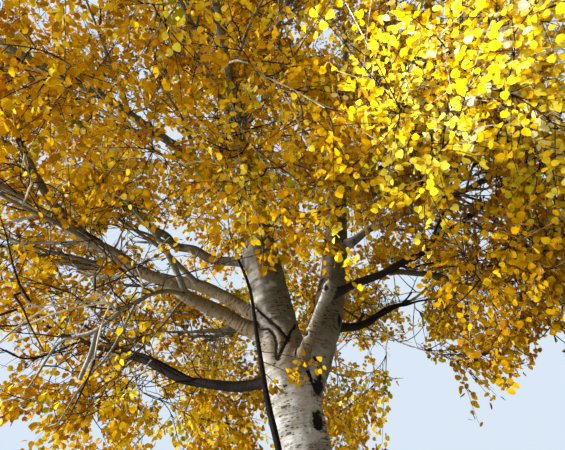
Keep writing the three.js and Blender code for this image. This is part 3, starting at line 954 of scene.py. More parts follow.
def leaf_arrays(sprays, settings, random):
    """The points and faces of all the leaves on some sprays, each with its own stalk."""
    count = settings.leaves
    total = len(sprays) * count
    shares = np.tile((np.arange(count) + 0.6) / count, (len(sprays), 1))
    shares = np.clip(shares * 0.86 + 0.14 + random.normal(0, 0.02, shares.shape), 0, 1)
    scaled = shares * (sprays.shape[1] - 1)
    i = np.minimum(scaled.astype(int), sprays.shape[1] - 2)
    w = (scaled - i)[..., None]
    rows = np.arange(len(sprays))[:, None]
    roots = (sprays[rows, i] * (1 - w) + sprays[rows, i + 1] * w).reshape(-1, 3)
    ways = unit(sprays[rows, i + 1] - sprays[rows, i]).reshape(-1, 3)
    sides = unit(random.normal(size=(total, 3)))
    sides = unit(sides - ways * (sides * ways).sum(axis=1, keepdims=True))
    stalk_ways = unit(ways * 0.45 + sides + np.array([0, 0, -0.15]))
    inside = np.clip(1.5 - np.linalg.norm(roots - CROWN_HEART, axis=1, keepdims=True) / 2.4, 0, 1)
    lengths = settings.leaf_length * random.uniform(0.72, 1.18, (total, 1)) * (1 - 0.27 * inside)
    feet = roots + stalk_ways * lengths * random.uniform(0.45, 0.85, (total, 1))
    leaf_ways = unit(stalk_ways * 0.8 + random.normal(0, 0.45, (total, 3)) + np.array([0, 0, -0.55]))
    normals = unit(random.normal(size=(total, 3)) + np.array([-0.25, -0.35, 0.3]))
    across = unit(np.cross(leaf_ways, normals))
    normals = np.cross(across, leaf_ways)
    widths = lengths * random.uniform(0.9, 1.06, (total, 1))
    curls = lengths * random.uniform(-0.12, 0.2, (total, 1))
    points = feet[:, None] + across[:, None] * (LEAF_OUTLINE[:, :1] * widths[:, None])
    points = points + leaf_ways[:, None] * (LEAF_OUTLINE[:, 1:] * lengths[:, None])
    points = points + normals[:, None] * (LEAF_CURL[:, None] * curls[:, None])
    stalk_side = unit(np.cross(stalk_ways, UP)) * STALK_HALF_WIDTH
    stalks = np.stack([roots + stalk_side, roots - stalk_side], axis=1)
    points = np.concatenate([points, stalks], axis=1)
    faces = LEAF_FACES[None] + (np.arange(total) * points.shape[1])[:, None, None]
    return points.reshape(-1, 3), faces.reshape(-1, 3)


def only(obj):
    """Selects one object and makes it active."""
    bpy.ops.object.select_all(action="DESELECT")
    obj.select_set(True)
    bpy.context.view_layer.objects.active = obj


def limb_tube(name, points, radii, resolution):
    """A closed round tube along some points, drawn as a bevelled path and turned into a mesh."""
    bpy.ops.object.select_all(action="DESELECT")
    bpy.ops.curve.primitive_nurbs_path_add(location=(0, 0, 0))
    obj = bpy.context.object
    obj.name = name
    path = obj.data
    path.splines.clear()
    spline = path.splines.new("POLY")
    spline.points.add(len(points) - 1)
    spline.points.foreach_set("co", np.column_stack([points, np.ones(len(points))]).ravel())
    spline.points.foreach_set("radius", np.asarray(radii, float))
    path.bevel_depth = 1.0
    path.bevel_resolution = resolution
    path.use_fill_caps = True
    only(obj)
    bpy.ops.object.convert(target="MESH")
    return obj


def joined(objects, name):
    """Some objects joined into one."""
    bpy.ops.object.select_all(action="DESELECT")
    for obj in objects:
        obj.select_set(True)
    bpy.context.view_layer.objects.active = objects[0]
    bpy.ops.object.join()
    whole = bpy.context.object
    whole.name = name
    whole.data.name = name
    return whole


def apply_modifier(obj, kind, **values):
    """Adds a modifier to an object, sets it and applies it."""
    only(obj)
    bpy.ops.object.modifier_add(type=kind)
    modifier = obj.modifiers[-1]
    for key, value in values.items():
        setattr(modifier, key, value)
    bpy.ops.object.modifier_apply(modifier=modifier.name)


def coordinates(obj):
    """A mesh's points as an array."""
    points = np.zeros(len(obj.data.vertices) * 3, np.float32)
    obj.data.vertices.foreach_get("co", points)
    return points.reshape(-1, 3).astype(float)


def move_points(obj, points):
    """Puts a mesh's points where an array says."""
    obj.data.vertices.foreach_set("co", points.astype(np.float32).ravel())
    obj.data.update()


# A distance that stands for far away, in metres.
FAR = 9.0


def nearest_limbs(points, limbs):
    """For each point: how far it lies from the skin of its nearest limb and of the next one, which limb
    the nearest is, and the point's place across and along it."""
    depth = np.full((len(limbs) + 1, len(points)), FAR)
    places = np.zeros((len(limbs) + 1, len(points), 3))
    for k, limb in enumerate(limbs):
        low = limb.points.min(axis=0) - limb.radii.max() - 0.2
        high = limb.points.max(axis=0) + limb.radii.max() + 0.2
        near = np.flatnonzero(((points > low) & (points < high)).all(axis=1))
        for start in range(0, len(near), 4000):
            rows = near[start : start + 4000]
            gaps = points[rows][:, None] - limb.points[None]
            skin = np.linalg.norm(gaps, axis=2) - limb.radii
            best = skin.argmin(axis=1)
            gap = gaps[np.arange(len(rows)), best]
            depth[k, rows] = skin[np.arange(len(rows)), best]
            along = limb.shares[best] * limb.curve.length + (gap * limb.ways[best]).sum(axis=1)
            across = (gap * limb.across[best]).sum(axis=1)
            up = (gap * limb.up[best]).sum(axis=1)
            places[k, rows] = np.column_stack([across, up, along])
    order = np.argsort(depth, axis=0)
    rows = np.arange(len(points))
    first, second = order[0], order[1]
    return depth[first, rows], depth[second, rows], first, places[first, rows]


def set_attribute(obj, name, values, kind="FLOAT"):
    """Stores one value or vector for each point of a mesh."""
    stored = obj.data.attributes.new(name, kind, "POINT")
    key = "vector" if kind == "FLOAT_VECTOR" else "value"
    stored.data.foreach_set(key, np.asarray(values, np.float32).ravel())


# Black scars on the wood, and hollows blackened as painted shade, in metres: the middle and the half sizes.
SCARS = [
    ((-0.055, -0.080, 2.485), (0.052, 0.075, 0.060)),
    ((-0.080, -0.115, 2.262), (0.045, 0.075, 0.068)),
    ((-0.036, -0.030, 2.400), (0.020, 0.075, 0.050)),
    ((-0.136, -0.125, 2.565), (0.014, 0.075, 0.014)),
    ((-0.138, -0.242, 2.783), (0.024, 0.030, 0.024)),
    ((-0.016, -0.466, 3.012), (0.029, 0.029, 0.029)),
    ((0.072, -0.040, 3.150), (0.028, 0.075, 0.016)),
    ((0.140, 0.020, 3.000), (0.022, 0.075, 0.060)),
    ((-0.300, -0.170, 2.050), (0.030, 0.075, 0.012)),
    ((-0.020, -0.190, 1.900), (0.045, 0.075, 0.022)),
    ((-0.130, -0.200, 1.420), (0.055, 0.075, 0.030)),
    ((0.110, -0.150, 1.050), (0.040, 0.075, 0.060)),
    ((-0.240, 0.130, 2.250), (0.050, 0.075, 0.040)),
    ((-0.020, 0.190, 1.550), (0.055, 0.075, 0.030)),
    ((-0.230, -0.060, 1.150), (0.045, 0.075, 0.028)),
    ((0.030, 0.210, 0.850), (0.060, 0.075, 0.040)),
    ((0.120, 0.120, 1.950), (0.040, 0.075, 0.050)),
]
# The black seams of the fork, where the bark of two limbs is pressed together and where painted shadow
# fills the crevices between them, and the middle of the fork, in metres. A seam marks no bark that is
# deeper or higher than its depth.
SEAMS = [
    [(-0.50, -0.06, 3.075), (-0.44, -0.115, 2.985), (-0.375, -0.14, 2.915), (-0.32, -0.145, 2.86)],
    [(-0.32, -0.145, 2.86), (-0.275, -0.145, 2.80), (-0.254, -0.14, 2.78)],
    [(-0.19, -0.08, 2.93), (-0.213, -0.09, 2.904), (-0.243, -0.133, 2.846), (-0.254, -0.141, 2.808)],
    [(-0.254, -0.141, 2.808), (-0.275, -0.147, 2.766), (-0.305, -0.148, 2.702), (-0.33, -0.14, 2.644)],
    [(-0.437, -0.113, 2.875), (-0.405, -0.127, 2.871), (-0.373, -0.135, 2.842), (-0.352, -0.143, 2.80)],
    [(-0.352, -0.143, 2.80), (-0.343, -0.141, 2.748), (-0.346, -0.14, 2.695), (-0.34, -0.14, 2.649)],
    [(-0.12, -0.17, 2.73), (-0.077, -0.092, 2.683), (-0.059, -0.089, 2.646), (-0.05, -0.082, 2.60)],
    [(-0.05, -0.082, 2.60), (-0.047, -0.06, 2.53)],
]
FORK_MIDDLE = np.array([-0.27, -0.12, 2.82])
SEAM_DEPTH = 0.045
# Where the bark of the fork is smooth and painted olive-brown as shade in the crotch: the middle and the
# half sizes, in metres.
FORK_SHADE = np.array([(-0.27, -0.18, 2.72), (0.22, 0.16, 0.20)])
# A limb as thick as this or thicker has the full relief, and the thinnest ones have this share of it.
FULL_RELIEF_RADIUS = 0.15
LEAST_RELIEF = 0.12
# How high the swells and wrinkles of the bark stand, the rims of its scars, the level folds at the fork and
# the ridges at the foot, and how deep the scars and seams sink, in metres.
SWELL_HEIGHT = 0.009
WRINKLE_HEIGHT = 0.0035
SCAR_RIM = 0.006
FOLD_HEIGHT = 0.006
FOOT_HEIGHT = 0.016
SCAR_SINK = 0.011
SEAM_SINK = 0.016


def reach_of_seams(points, normals):
    """How far each point of the bark lies from the nearest seam, measured along the bark."""
    reach = np.full(len(points), 1.0)
    near = np.flatnonzero((np.abs(points - FORK_MIDDLE) < 0.5).all(axis=1))
    for seam in SEAMS:
        for a, b in zip(np.array(seam[:-1]), np.array(seam[1:])):
            along = b - a
            share = np.clip((points[near] - a) @ along / along.dot(along), 0, 1)
            away = points[near] - a - share[:, None] * along
            depth = (away * normals[near]).sum(axis=1)
            level = np.linalg.norm(away - normals[near] * depth[:, None], axis=1)
            reach[near] = np.minimum(reach[near], np.where(np.abs(depth) < SEAM_DEPTH, level, 1.0))
    return reach


def mesh_normals(obj):
    """A mesh's normals at its points, as an array."""
    normals = np.zeros(len(obj.data.vertices) * 3, np.float32)
    obj.data.vertex_normals.foreach_get("vector", normals)
    return normals.reshape(-1, 3).astype(float)


def noise_at(places, scale):
    """Smooth noise from -1 to 1 at some places."""
    return np.array([noise.noise(Vector(place)) for place in places * np.array(scale)])


def trunk_relief(points, normals, depth, second, places, size):
    """The relief of the trunk with its scars, seams, creases, folds and roots, and where its marks lie: the
    scars, and the painted shade of its seams, creases and hollows.
    """
    shift = np.zeros(len(points))
    marks = np.zeros(len(points))
    # Scars are marked black; the hollows among them are blackened as painted shade.
    for middle, half in SCARS:
        reach = np.linalg.norm((points - np.array(middle)) / np.array(half), axis=1)
        marks = np.maximum(marks, np.clip(1.1 - 0.5 * reach, 0, 1))
        shift -= SCAR_SINK * np.clip(1.2 - reach, 0, 1)
        shift += SCAR_RIM * np.clip(1 - np.abs(reach - 1.35) * 3, 0, 1)
    # Painted shadow: the seams are marked black, partly bark pressed together and partly shade in the
    # crevices.
    seams = reach_of_seams(points, normals) + 0.003 * noise_at(points, 28) + 0.002 * noise_at(points, 9)
    marks = np.maximum(marks, np.clip(1 - (seams - 0.004) / 0.019, 0, 1))
    shift -= SEAM_SINK * np.clip(1 - seams / 0.032, 0, 1)
    # Painted shade: the bark is marked black in the creases where two limbs meet.
    crease = np.clip(1 - (second - depth - 0.003) / 0.022, 0, 1) * (depth < 0.05)
    marks = np.maximum(marks, crease * np.clip(normals[:, 2] * 1.6 + 0.75, 0, 1))
    folds = np.clip(1.2 - np.abs(points[:, 2] - 3.1) / 0.9, 0.15, 1)
    shift += FOLD_HEIGHT * size * folds * noise_at(places, (2.5, 2.5, 22))
    foot = np.clip(1 - points[:, 2] / 1.1, 0, 1)
    shift += foot * (FOOT_HEIGHT * noise_at(places, (20, 20, 4)) - 0.004)
    return shift, marks


def bark_piece(obj, limbs):
    """Gives a mesh of limbs its relief, and stores where the marks of its bark lie."""
    points = coordinates(obj)
    depth, second, first, places = nearest_limbs(points, limbs)
    normals = mesh_normals(obj)
    size = np.clip(np.linalg.norm(places[:, :2], axis=1) / FULL_RELIEF_RADIUS, LEAST_RELIEF, 1.0)
    shift = size * SWELL_HEIGHT * noise_at(points, 3.3)
    shift += size * WRINKLE_HEIGHT * noise_at(places, (5, 5, 17))
    marks = np.zeros(len(points))
    if len(limbs) > 1:
        more, marks = trunk_relief(points, normals, depth, second, places, size)
        shift += more
    points = points + normals * shift[:, None]
    points[:, 2] = np.maximum(points[:, 2], 0.0)
    move_points(obj, points)
    # Painted shade: olive-brown at the fork and on the shaded low limbs.
    away = np.linalg.norm((points - FORK_SHADE[0]) / FORK_SHADE[1], axis=1)
    brown = np.clip(1 - away**2, 0, 1) ** 0.5 * 0.85
    brown = np.maximum(brown, np.array([BROWN_SHADE.get(limb.name, 0.0) for limb in limbs] + [0.0])[first])
    # Painted shade: how dark each limb's bark is made where it stands in shade.
    shade_darkness = np.array([limb.shade_darkness for limb in limbs] + [0.0])[first]
    set_attribute(obj, "grain", places, "FLOAT_VECTOR")
    set_attribute(obj, "scar", marks)
    set_attribute(obj, "dark", shade_darkness)
    set_attribute(obj, "brown", brown)
    only(obj)
    bpy.ops.object.shade_smooth()
    return obj


def new_group(name, inputs, outputs):
    """An empty shader node group with these inputs and outputs: name, kind and default."""
    group = bpy.data.node_groups.new(name, "ShaderNodeTree")
    for label, kind, value in inputs:
        socket = group.interface.new_socket(label, in_out="INPUT", socket_type=f"NodeSocket{kind}")
        if value is not None:
            socket.default_value = value
    for label, kind in outputs:
        group.interface.new_socket(label, in_out="OUTPUT", socket_type=f"NodeSocket{kind}")
    return group, group.nodes.new("NodeGroupInput"), group.nodes.new("NodeGroupOutput")


def node(tree, kind, values=None, inputs=None):
    """A node of this kind, with its settings, and its inputs set to values or joined to sockets."""
    made = tree.nodes.new(kind)
    for key, value in (values or {}).items():
        setattr(made, key, value)
    for key, value in (inputs or {}).items():
        if isinstance(value, bpy.types.NodeSocket):
            tree.links.new(value, made.inputs[key])
        else:
            made.inputs[key].default_value = value
    return made


def blend_colours(tree, factor, first, second):
    """A mix of two colours."""
    made = node(tree, "ShaderNodeMix", {"data_type": "RGBA"}, {0: factor, 6: first, 7: second})
    return made.outputs[2]


def ramp(tree, value, low, high):
    """A value spread from 0 at low to 1 at high."""
    inputs = {"Value": value, "From Min": low, "From Max": high}
    return node(tree, "ShaderNodeMapRange", {"interpolation_type": "SMOOTHSTEP"}, inputs).outputs["Result"]


def calculate(tree, operation, first, second=0.0):
    """One sum on values."""
    made = node(tree, "ShaderNodeMath", {"operation": operation, "use_clamp": True}, {0: first, 1: second})
    return made.outputs[0]


def product(tree, first, second):
    """One value times another."""
    return calculate(tree, "MULTIPLY", first, second)


def attribute(tree, name, output="Fac"):
    """What a mesh stores under a name."""
    return node(tree, "ShaderNodeAttribute", {"attribute_name": name}).outputs[output]


def stretched(tree, place, stretch):
    """A place with each of its axes stretched."""
    return node(tree, "ShaderNodeVectorMath", {"operation": "MULTIPLY"}, {0: place, 1: stretch}).outputs[0]


def stretched_noise(tree, place, stretch, detail=3.0, roughness=0.55):
    """Noise whose grains are stretched, read from the straightened limb."""
    place = stretched(tree, place, stretch)
    inputs = {"Vector": place, "Scale": 1.0, "Detail": detail, "Roughness": roughness}
    return node(tree, "ShaderNodeTexNoise", None, inputs).outputs["Fac"]


def scattered_spots(tree, place, stretch, size):
    """Scattered spots, one to a cell, read from the straightened limb: 1 in a spot and 0 outside."""
    place = stretched(tree, place, stretch)
    cells = node(tree, "ShaderNodeTexVoronoi", None, {"Vector": place, "Scale": 1.0}).outputs
    split = node(tree, "ShaderNodeSeparateColor", None, {0: cells["Color"]})
    reach = product(tree, split.outputs[0], size)
    gap = node(tree, "ShaderNodeMath", {"operation": "SUBTRACT"}, {0: reach, 1: cells["Distance"]})
    return ramp(tree, gap.outputs[0], -0.01, 0.04)


def bark_marks_group():
    """Marks of smooth poplar bark: pores in short level dashes, wrinkles, mottling, and scars with the
    painted shade of seams, creases and hollows.
    """
    inputs = [("Place", "Vector", None), ("Scar", "Float", 0.0), ("Pores", "Float", 1.0)]
    outputs = [(name, "Float") for name in ("Pore Mask", "Scar Mask", "Mottle", "Lines", "Height")]
    tree, given, result = new_group("Bark marks", inputs, outputs)
    place = given.outputs["Place"]
    patches = ramp(tree, stretched_noise(tree, place, (6, 6, 8), 2.0), 0.38, 0.62)
    middling = scattered_spots(tree, place, (26, 26, 62), 0.46)
    small = scattered_spots(tree, place, (44, 44, 90), 0.38)
    broad = product(tree, scattered_spots(tree, place, (13, 13, 40), 0.42), patches)
    pores = calculate(tree, "MAXIMUM", middling, small)
    pores = product(tree, pores, calculate(tree, "MAXIMUM", patches, 0.25))
    pores = calculate(tree, "MAXIMUM", pores, product(tree, broad, 0.85))
    pores = product(tree, pores, given.outputs["Pores"])
    edge = stretched_noise(tree, place, (26, 26, 60), 4.0)
    rough_scar = node(tree, "ShaderNodeMath", {"operation": "MULTIPLY_ADD"}, {0: edge, 1: 0.7})
    tree.links.new(given.outputs["Scar"], rough_scar.inputs[2])
    scar = ramp(tree, rough_scar.outputs[0], 0.92, 1.04)
    mottle = stretched_noise(tree, place, (5, 5, 8), 5.0, 0.62)
    wrinkles = stretched_noise(tree, place, (4, 4, 46), 3.0)
    lines = ramp(tree, stretched_noise(tree, place, (4, 4, 70), 2.0), 0.53, 0.64)
    lines = product(tree, lines, ramp(tree, stretched_noise(tree, place, (3, 3, 4), 2.0), 0.4, 0.6))
    waves = {"Vector": place, "Scale": 13.0, "Distortion": 5.0, "Detail": 2.0, "Detail Scale": 0.35}
    bands = node(tree, "ShaderNodeTexWave", {"wave_type": "BANDS", "bands_direction": "Z"}, waves)
    rings = product(tree, ramp(tree, bands.outputs["Fac"], 0.72, 1.0), ramp(tree, mottle, 0.42, 0.56))
    lines = calculate(tree, "MAXIMUM", lines, product(tree, rings, 0.75))
    fine = stretched_noise(tree, place, (60, 60, 160), 3.0)
    height = calculate(tree, "ADD", product(tree, wrinkles, 0.7), product(tree, fine, 0.22))
    height = calculate(tree, "SUBTRACT", height, product(tree, pores, 0.12))
    height = calculate(tree, "SUBTRACT", height, product(tree, lines, 0.12))
    for name, socket in zip((item[0] for item in outputs), (pores, scar, mottle, lines, height)):
        tree.links.new(socket, result.inputs[name])
    return tree


# The level way from the trunk to its sunless side, which is painted with shade.
SUNLESS_WAY = (0.86, -0.50, 0.0)


def shaded_side(tree, normal, mottle):
    """How much painted shade there is: grey-green on the side away from the light, more of it higher up, in
    soft patches.
    """
    facing = node(tree, "ShaderNodeVectorMath", {"operation": "DOT_PRODUCT"}, {0: normal, 1: SUNLESS_WAY})
    side = ramp(tree, facing.outputs["Value"], -0.2, 0.45)
    place = node(tree, "ShaderNodeTexCoord").outputs["Object"]
    height = node(tree, "ShaderNodeSeparateXYZ", None, {0: place}).outputs["Z"]
    high = product(tree, ramp(tree, height, 2.45, 3.1), 0.7)
    painted_side_shade = product(tree, side, calculate(tree, "ADD", high, 0.42))
    return product(tree, painted_side_shade, calculate(tree, "ADD", ramp(tree, mottle, 0.3, 0.55), 0.6))


def bark_material(name, settings, pores):
    """Bark that runs from cream through grey to the dark of the shaded boughs, with its marks, and painted
    shade on its undersides, its sunless side, the fork and the low limbs.
    """
    material = bpy.data.materials.new(name)
    material.use_nodes = True
    tree = material.node_tree
    shader = tree.nodes["Principled BSDF"]
    group = {"node_tree": bpy.data.node_groups["Bark marks"]}
    given = {"Place": attribute(tree, "grain", "Vector"), "Scar": attribute(tree, "scar"), "Pores": pores}
    marks = node(tree, "ShaderNodeGroup", group, given).outputs
    mottle = marks["Mottle"]
    normal = node(tree, "ShaderNodeNewGeometry").outputs["Normal"]
    split = node(tree, "ShaderNodeSeparateXYZ", None, {0: normal}).outputs
    # Painted shade: bark that faces downwards turns olive, in soft patches.
    under = product(tree, ramp(tree, split["Z"], 0.22, -0.45), 0.9)
    under = product(tree, under, calculate(tree, "ADD", ramp(tree, mottle, 0.25, 0.6), 0.35))
    # Painted shade: olive-brown at the fork and on the shaded low limbs.
    brown = calculate(tree, "ADD", ramp(tree, mottle, 0.35, 0.5), 0.5)
    brown = product(tree, attribute(tree, "brown"), brown)
    colour = blend_colours(tree, ramp(tree, mottle, 0.44, 0.66), settings.bark_colour, settings.bark_grey)
    colour = blend_colours(tree, under, colour, settings.underside_shade_colour)
    # Painted shade: grey-green on the sunless side.
    colour = blend_colours(tree, shaded_side(tree, normal, mottle), colour, settings.side_shade_colour)
    colour = blend_colours(tree, brown, colour, settings.brown_shade_colour)
    colour = blend_colours(tree, product(tree, marks["Lines"], 0.7), colour, settings.line_colour)
    # Painted shade: the boughs that stand in shade turn near black.
    colour = blend_colours(tree, attribute(tree, "dark"), colour, settings.shaded_bough_colour)
    colour = blend_colours(tree, marks["Pore Mask"], colour, settings.pore_colour)
    colour = blend_colours(tree, marks["Scar Mask"], colour, settings.scar_and_shade_colour)
    tree.links.new(colour, shader.inputs["Base Color"])
    rough = node(tree, "ShaderNodeMapRange", None, {"Value": mottle, "To Min": 0.6, "To Max": 0.85})
    tree.links.new(rough.outputs["Result"], shader.inputs["Roughness"])
    shader.inputs["Specular IOR Level"].default_value = 0.12
    bump = node(tree, "ShaderNodeBump", None, {"Strength": 0.8, "Distance": 0.02, "Height": marks["Height"]})
    tree.links.new(bump.outputs["Normal"], shader.inputs["Normal"])
    return material


def plain_material(name, colour, roughness, specular):
    """A material of one plain colour."""
    material = bpy.data.materials.new(name)
    material.use_nodes = True
    shader = material.node_tree.nodes["Principled BSDF"]
    shader.inputs["Base Color"].default_value = colour
    shader.inputs["Roughness"].default_value = roughness
    shader.inputs["Specular IOR Level"].default_value = specular
    return material


def twig_material(name, colour):
    """The bark of twigs: one colour that runs lighter and darker along them."""
    material = plain_material(name, colour, 0.8, 0.08)
    tree = material.node_tree
    shader = tree.nodes["Principled BSDF"]
    place = node(tree, "ShaderNodeTexCoord").outputs["Object"]
    drift = ramp(tree, stretched_noise(tree, place, (9, 9, 9)), 0.35, 0.65)
    lighter = tuple(min(value * 1.7, 0.9) for value in colour[:3]) + (1.0,)
    darker = tuple(value * 0.5 for value in colour[:3]) + (1.0,)
    tree.links.new(blend_colours(tree, drift, darker, lighter), shader.inputs["Base Color"])
    return material


def colour_setting(name, description, value):
    """A colour that the user may change."""
    return bpy.props.FloatVectorProperty(
        name=name, description=description, default=(*value, 1.0), size=4, min=0, max=1, subtype="COLOR"
    )


class PoplarBark(bpy.types.PropertyGroup):
    """Sizes and colours of the bark."""

    voxel: bpy.props.FloatProperty(
        name="Bark fineness", description="Size of the trunk's faces", default=0.0142, unit="LENGTH"
    )
    bark_colour: colour_setting("White", "Bark in the light", (0.90, 0.905, 0.895))
    bark_grey: colour_setting("Grey", "Mottled bark", (0.42, 0.415, 0.37))
    # Painted shade, on the undersides of the limbs.
    underside_shade_colour: colour_setting("Olive", "Bark on the undersides", (0.15, 0.12, 0.058))
    # Painted shade, at the fork and on the low limbs.
    brown_shade_colour: colour_setting("Brown", "Smooth olive-brown bark at the fork", (0.20, 0.14, 0.065))
    # Painted shade, on the sunless side of the limbs.
    side_shade_colour: colour_setting("Film", "Grey-green film on the sunless side", (0.15, 0.148, 0.105))
    # Painted shade, on the boughs that stand in shade.
    shaded_bough_colour: colour_setting("Dark", "Bark of the dark boughs", (0.012, 0.009, 0.007))
    line_colour: colour_setting("Wrinkles", "The fine level lines", (0.20, 0.155, 0.095))
    pore_colour: colour_setting("Pores", "The short level dashes", (0.035, 0.026, 0.018))
    # Scars, and the painted shade of seams, creases and hollows.
    scar_and_shade_colour: colour_setting("Scars", "Scars and seams", (0.012, 0.010, 0.009))


class PoplarCrown(bpy.types.PropertyGroup):
    """Sizes and numbers of the crown."""

    seed: bpy.props.IntProperty(name="Seed", description="Another number grows another crown", default=7)
    branchlets: bpy.props.IntProperty(name="Branchlets", description="In a mass of middle size", default=34)
    twigs: bpy.props.IntProperty(name="Twigs", description="On each branchlet", default=6)
    leaves: bpy.props.IntProperty(name="Leaves", description="On each twig", default=12)
    leaf_length: bpy.props.FloatProperty(
        name="Leaf length", description="Middle length of a leaf", default=0.056, unit="LENGTH"
    )
    twig_length: bpy.props.FloatProperty(
        name="Twig length", description="Share of the usual length", default=1.0, subtype="FACTOR"
    )
    lowest_leaf: bpy.props.FloatProperty(
        name="Lowest leaf", description="Height under which nothing sprouts", default=2.3, unit="LENGTH"
    )
    # Painted shade: the young brown bark is kept near black; the pale bark below is also painted light on a
    # share of the twigs.
    twig_colour: colour_setting("Twigs", "Young brown bark", (0.032, 0.021, 0.014))
    branch_colour: colour_setting("Branches", "Pale bark of the small branches", (0.46, 0.42, 0.33))


# The autumn tints: a name, the base colour, and how much of the foliage has it. The last one, cream, is a
# painted highlight, dealt out only among the palest sprays.
TINTS = [
    ("olive", (0.40, 0.33, 0.006), 0.06),
    ("lemon", (0.99, 0.84, 0.07), 0.10),
    ("yellow", (0.98, 0.71, 0.014), 0.17),
    ("golden_yellow", (0.92, 0.58, 0.006), 0.21),
    ("gold", (0.78, 0.45, 0.003), 0.21),
    ("deep_gold", (0.60, 0.32, 0.002), 0.14),
    ("ochre", (0.42, 0.21, 0.002), 0.07),
    ("amber", (0.58, 0.27, 0.003), 0.03),
    ("cream", (1.0, 0.93, 0.42), 0.0),
]
GROWN = {}


def grown_crown():
    """The crown, grown once and kept for the operators that need it."""
    if "crown" not in GROWN:
        GROWN["crown"] = Growth(bpy.context.scene.poplar_crown).grow()
    return GROWN["crown"]


# The boughs that leave another bough and not the trunk or the leader.
BOUGHS_ON_BOUGHS = ("left_fork", "drooping", "low_right", "stub_side")
# How far a bough's collar is modelled as one with the trunk, in metres. It swells by a share of its
# radius, fading over a length once it comes out of the wood, which is thinner where a bough bears it.
COLLAR_LENGTH = 0.42
COLLAR_SWELL = 0.5
COLLAR_FADE = 0.07
HIDDEN_IN_BOUGH = 0.05
HIDDEN_IN_STEM = 0.16
# How high the ridges of the roots stand, as a share of the trunk's radius.
ROOT_RIDGE = 0.114


class POPLAR_OT_trunk(bpy.types.Operator):
    """Models the trunk, the second leader and the sawn stub, with the collars of every bough"""

    bl_idname = "poplar.trunk"
    bl_label = "Trunk and leader"

    def execute(self, context):
        settings = context.scene.poplar_bark
        parts = []
        for limb in LIMBS.values():
            if limb.name in STEMS:
                parts.append(self.stem(limb))
            else:
                parts.append(self.collar(limb))
        whole = joined(parts, "trunk_bark")
        apply_modifier(whole, "REMESH", mode="VOXEL", voxel_size=settings.voxel, use_smooth_shade=True)
        self.cut_foot(whole)
        self.shape_flare(whole)
        apply_modifier(whole, "SMOOTH", factor=0.6, iterations=6)
        bark_piece(whole, list(LIMBS.values()))
        whole.data.materials.clear()
        whole.data.materials.append(bark_material("Trunk bark", settings, 1.0))
        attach(whole, "root")
        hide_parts("trunk", "leader", "stub")
        return {"FINISHED"}

    def stem(self, limb):
        """The tube of a stem: the trunk's starts below the ground, and the stub's swells at its foot."""
        points, radii = limb.points, limb.radii
        if limb.name == "stub":
            along = limb.shares * limb.curve.length
            radii = radii * (0.84 + 0.42 * np.exp(-np.clip(along - 0.17, 0, 1) / 0.10))
        if limb.name == "trunk":
            points = np.vstack([points[0] - UP * 0.08, points])
            radii = np.append(radii[0], radii)
        return limb_tube(limb.name, points, radii, 6)

    def collar(self, limb):
        """The flared first stretch of a bough, thinned at its end so that the bough's tube covers it."""
        length = min(COLLAR_LENGTH, limb.curve.length * 0.5)
        shares = np.linspace(0, length / limb.curve.length, 10)
        along = shares * limb.curve.length
        radii = limb.radius_at(shares)
        hidden = HIDDEN_IN_BOUGH if limb.name in BOUGHS_ON_BOUGHS else HIDDEN_IN_STEM
        radii = radii * (1 + COLLAR_SWELL * np.exp(-np.clip(along - hidden, 0, FAR) / COLLAR_FADE))
        radii[-2:] *= (0.93, 0.8)
        return limb_tube(limb.name, limb.curve.at(shares), radii, 4)

    def cut_foot(self, whole):
        """Cuts the trunk off level at the ground."""
        only(whole)
        bpy.ops.object.mode_set(mode="EDIT")
        bpy.ops.mesh.select_all(action="SELECT")
        bpy.ops.mesh.bisect(plane_co=(0, 0, 0), plane_no=(0, 0, 1), clear_inner=True, use_fill=True)
        bpy.ops.object.mode_set(mode="OBJECT")

    def shape_flare(self, whole):
        """Draws the foot of the trunk out into the ridges of its roots."""
        points = coordinates(whole)
        angle = np.arctan2(points[:, 1], points[:, 0])
        fade = np.exp(-points[:, 2] / (FLARE_HEIGHT * MM * 1.5)) * (points[:, 2] < 1.6)
        ridge = ROOT_RIDGE * np.cos(FLARE_LOBES * angle + 0.4 * np.sin(2 * angle))
        points[:, :2] *= (1 + ridge * fade)[:, None]
        move_points(whole, points)


class POPLAR_OT_boughs(bpy.types.Operator):
    """Models the boughs and the dark shoot as tapering limbs with relief"""

    bl_idname = "poplar.boughs"
    bl_label = "Boughs"

    def execute(self, context):
        settings = context.scene.poplar_bark
        main = [limb for limb in LIMBS.values() if limb.name not in STEMS]
        parts = []
        for limb in main + SIDES + BARE_LIMBS:
            shares = np.linspace(0, 1, max(int(limb.curve.length / 0.03), 8))
            points = limb.curve.at(shares)
            knots = 1 + 0.07 * noise_at(points, 7.0) + 0.05 * noise_at(points, 19.0)
            resolution = 3 if limb in main else 1
            tube = limb_tube(limb.name, points, limb.radius_at(shares) * knots, resolution)
            parts.append(bark_piece(tube, [limb]))
        whole = joined(parts, "bough_bark")
        whole.data.materials.clear()
        whole.data.materials.append(bark_material("Bough bark", settings, 0.8))
        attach(whole, "root")
        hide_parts("shoot", *[f"bough_{limb.name}" for limb in main if limb.name != "shoot"])
        return {"FINISHED"}


class POPLAR_OT_twigs(bpy.types.Operator):
    """Grows the branches, branchlets and twigs of every mass"""

    bl_idname = "poplar.twigs"
    bl_label = "Branches and twigs"

    def execute(self, context):
        settings = context.scene.poplar_crown
        crown = grown_crown()
        young = twig_material("Twig bark", settings.twig_colour)
        pale = twig_material("Branch bark", settings.branch_colour)
        groups = [
            ("branches", crown.branches, 5, pale),
            ("branchlets", crown.branchlets, 3, young),
            ("twigs", crown.twigs, 3, young),
            ("pale_twigs", crown.pale_twigs, 3, pale),
        ]
        for name, shoots, sides, material in groups:
            piece = mesh_object(name, *tubes(shoots, sides))
            piece.data.materials.append(material)
            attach(piece, "root")
        return {"FINISHED"}


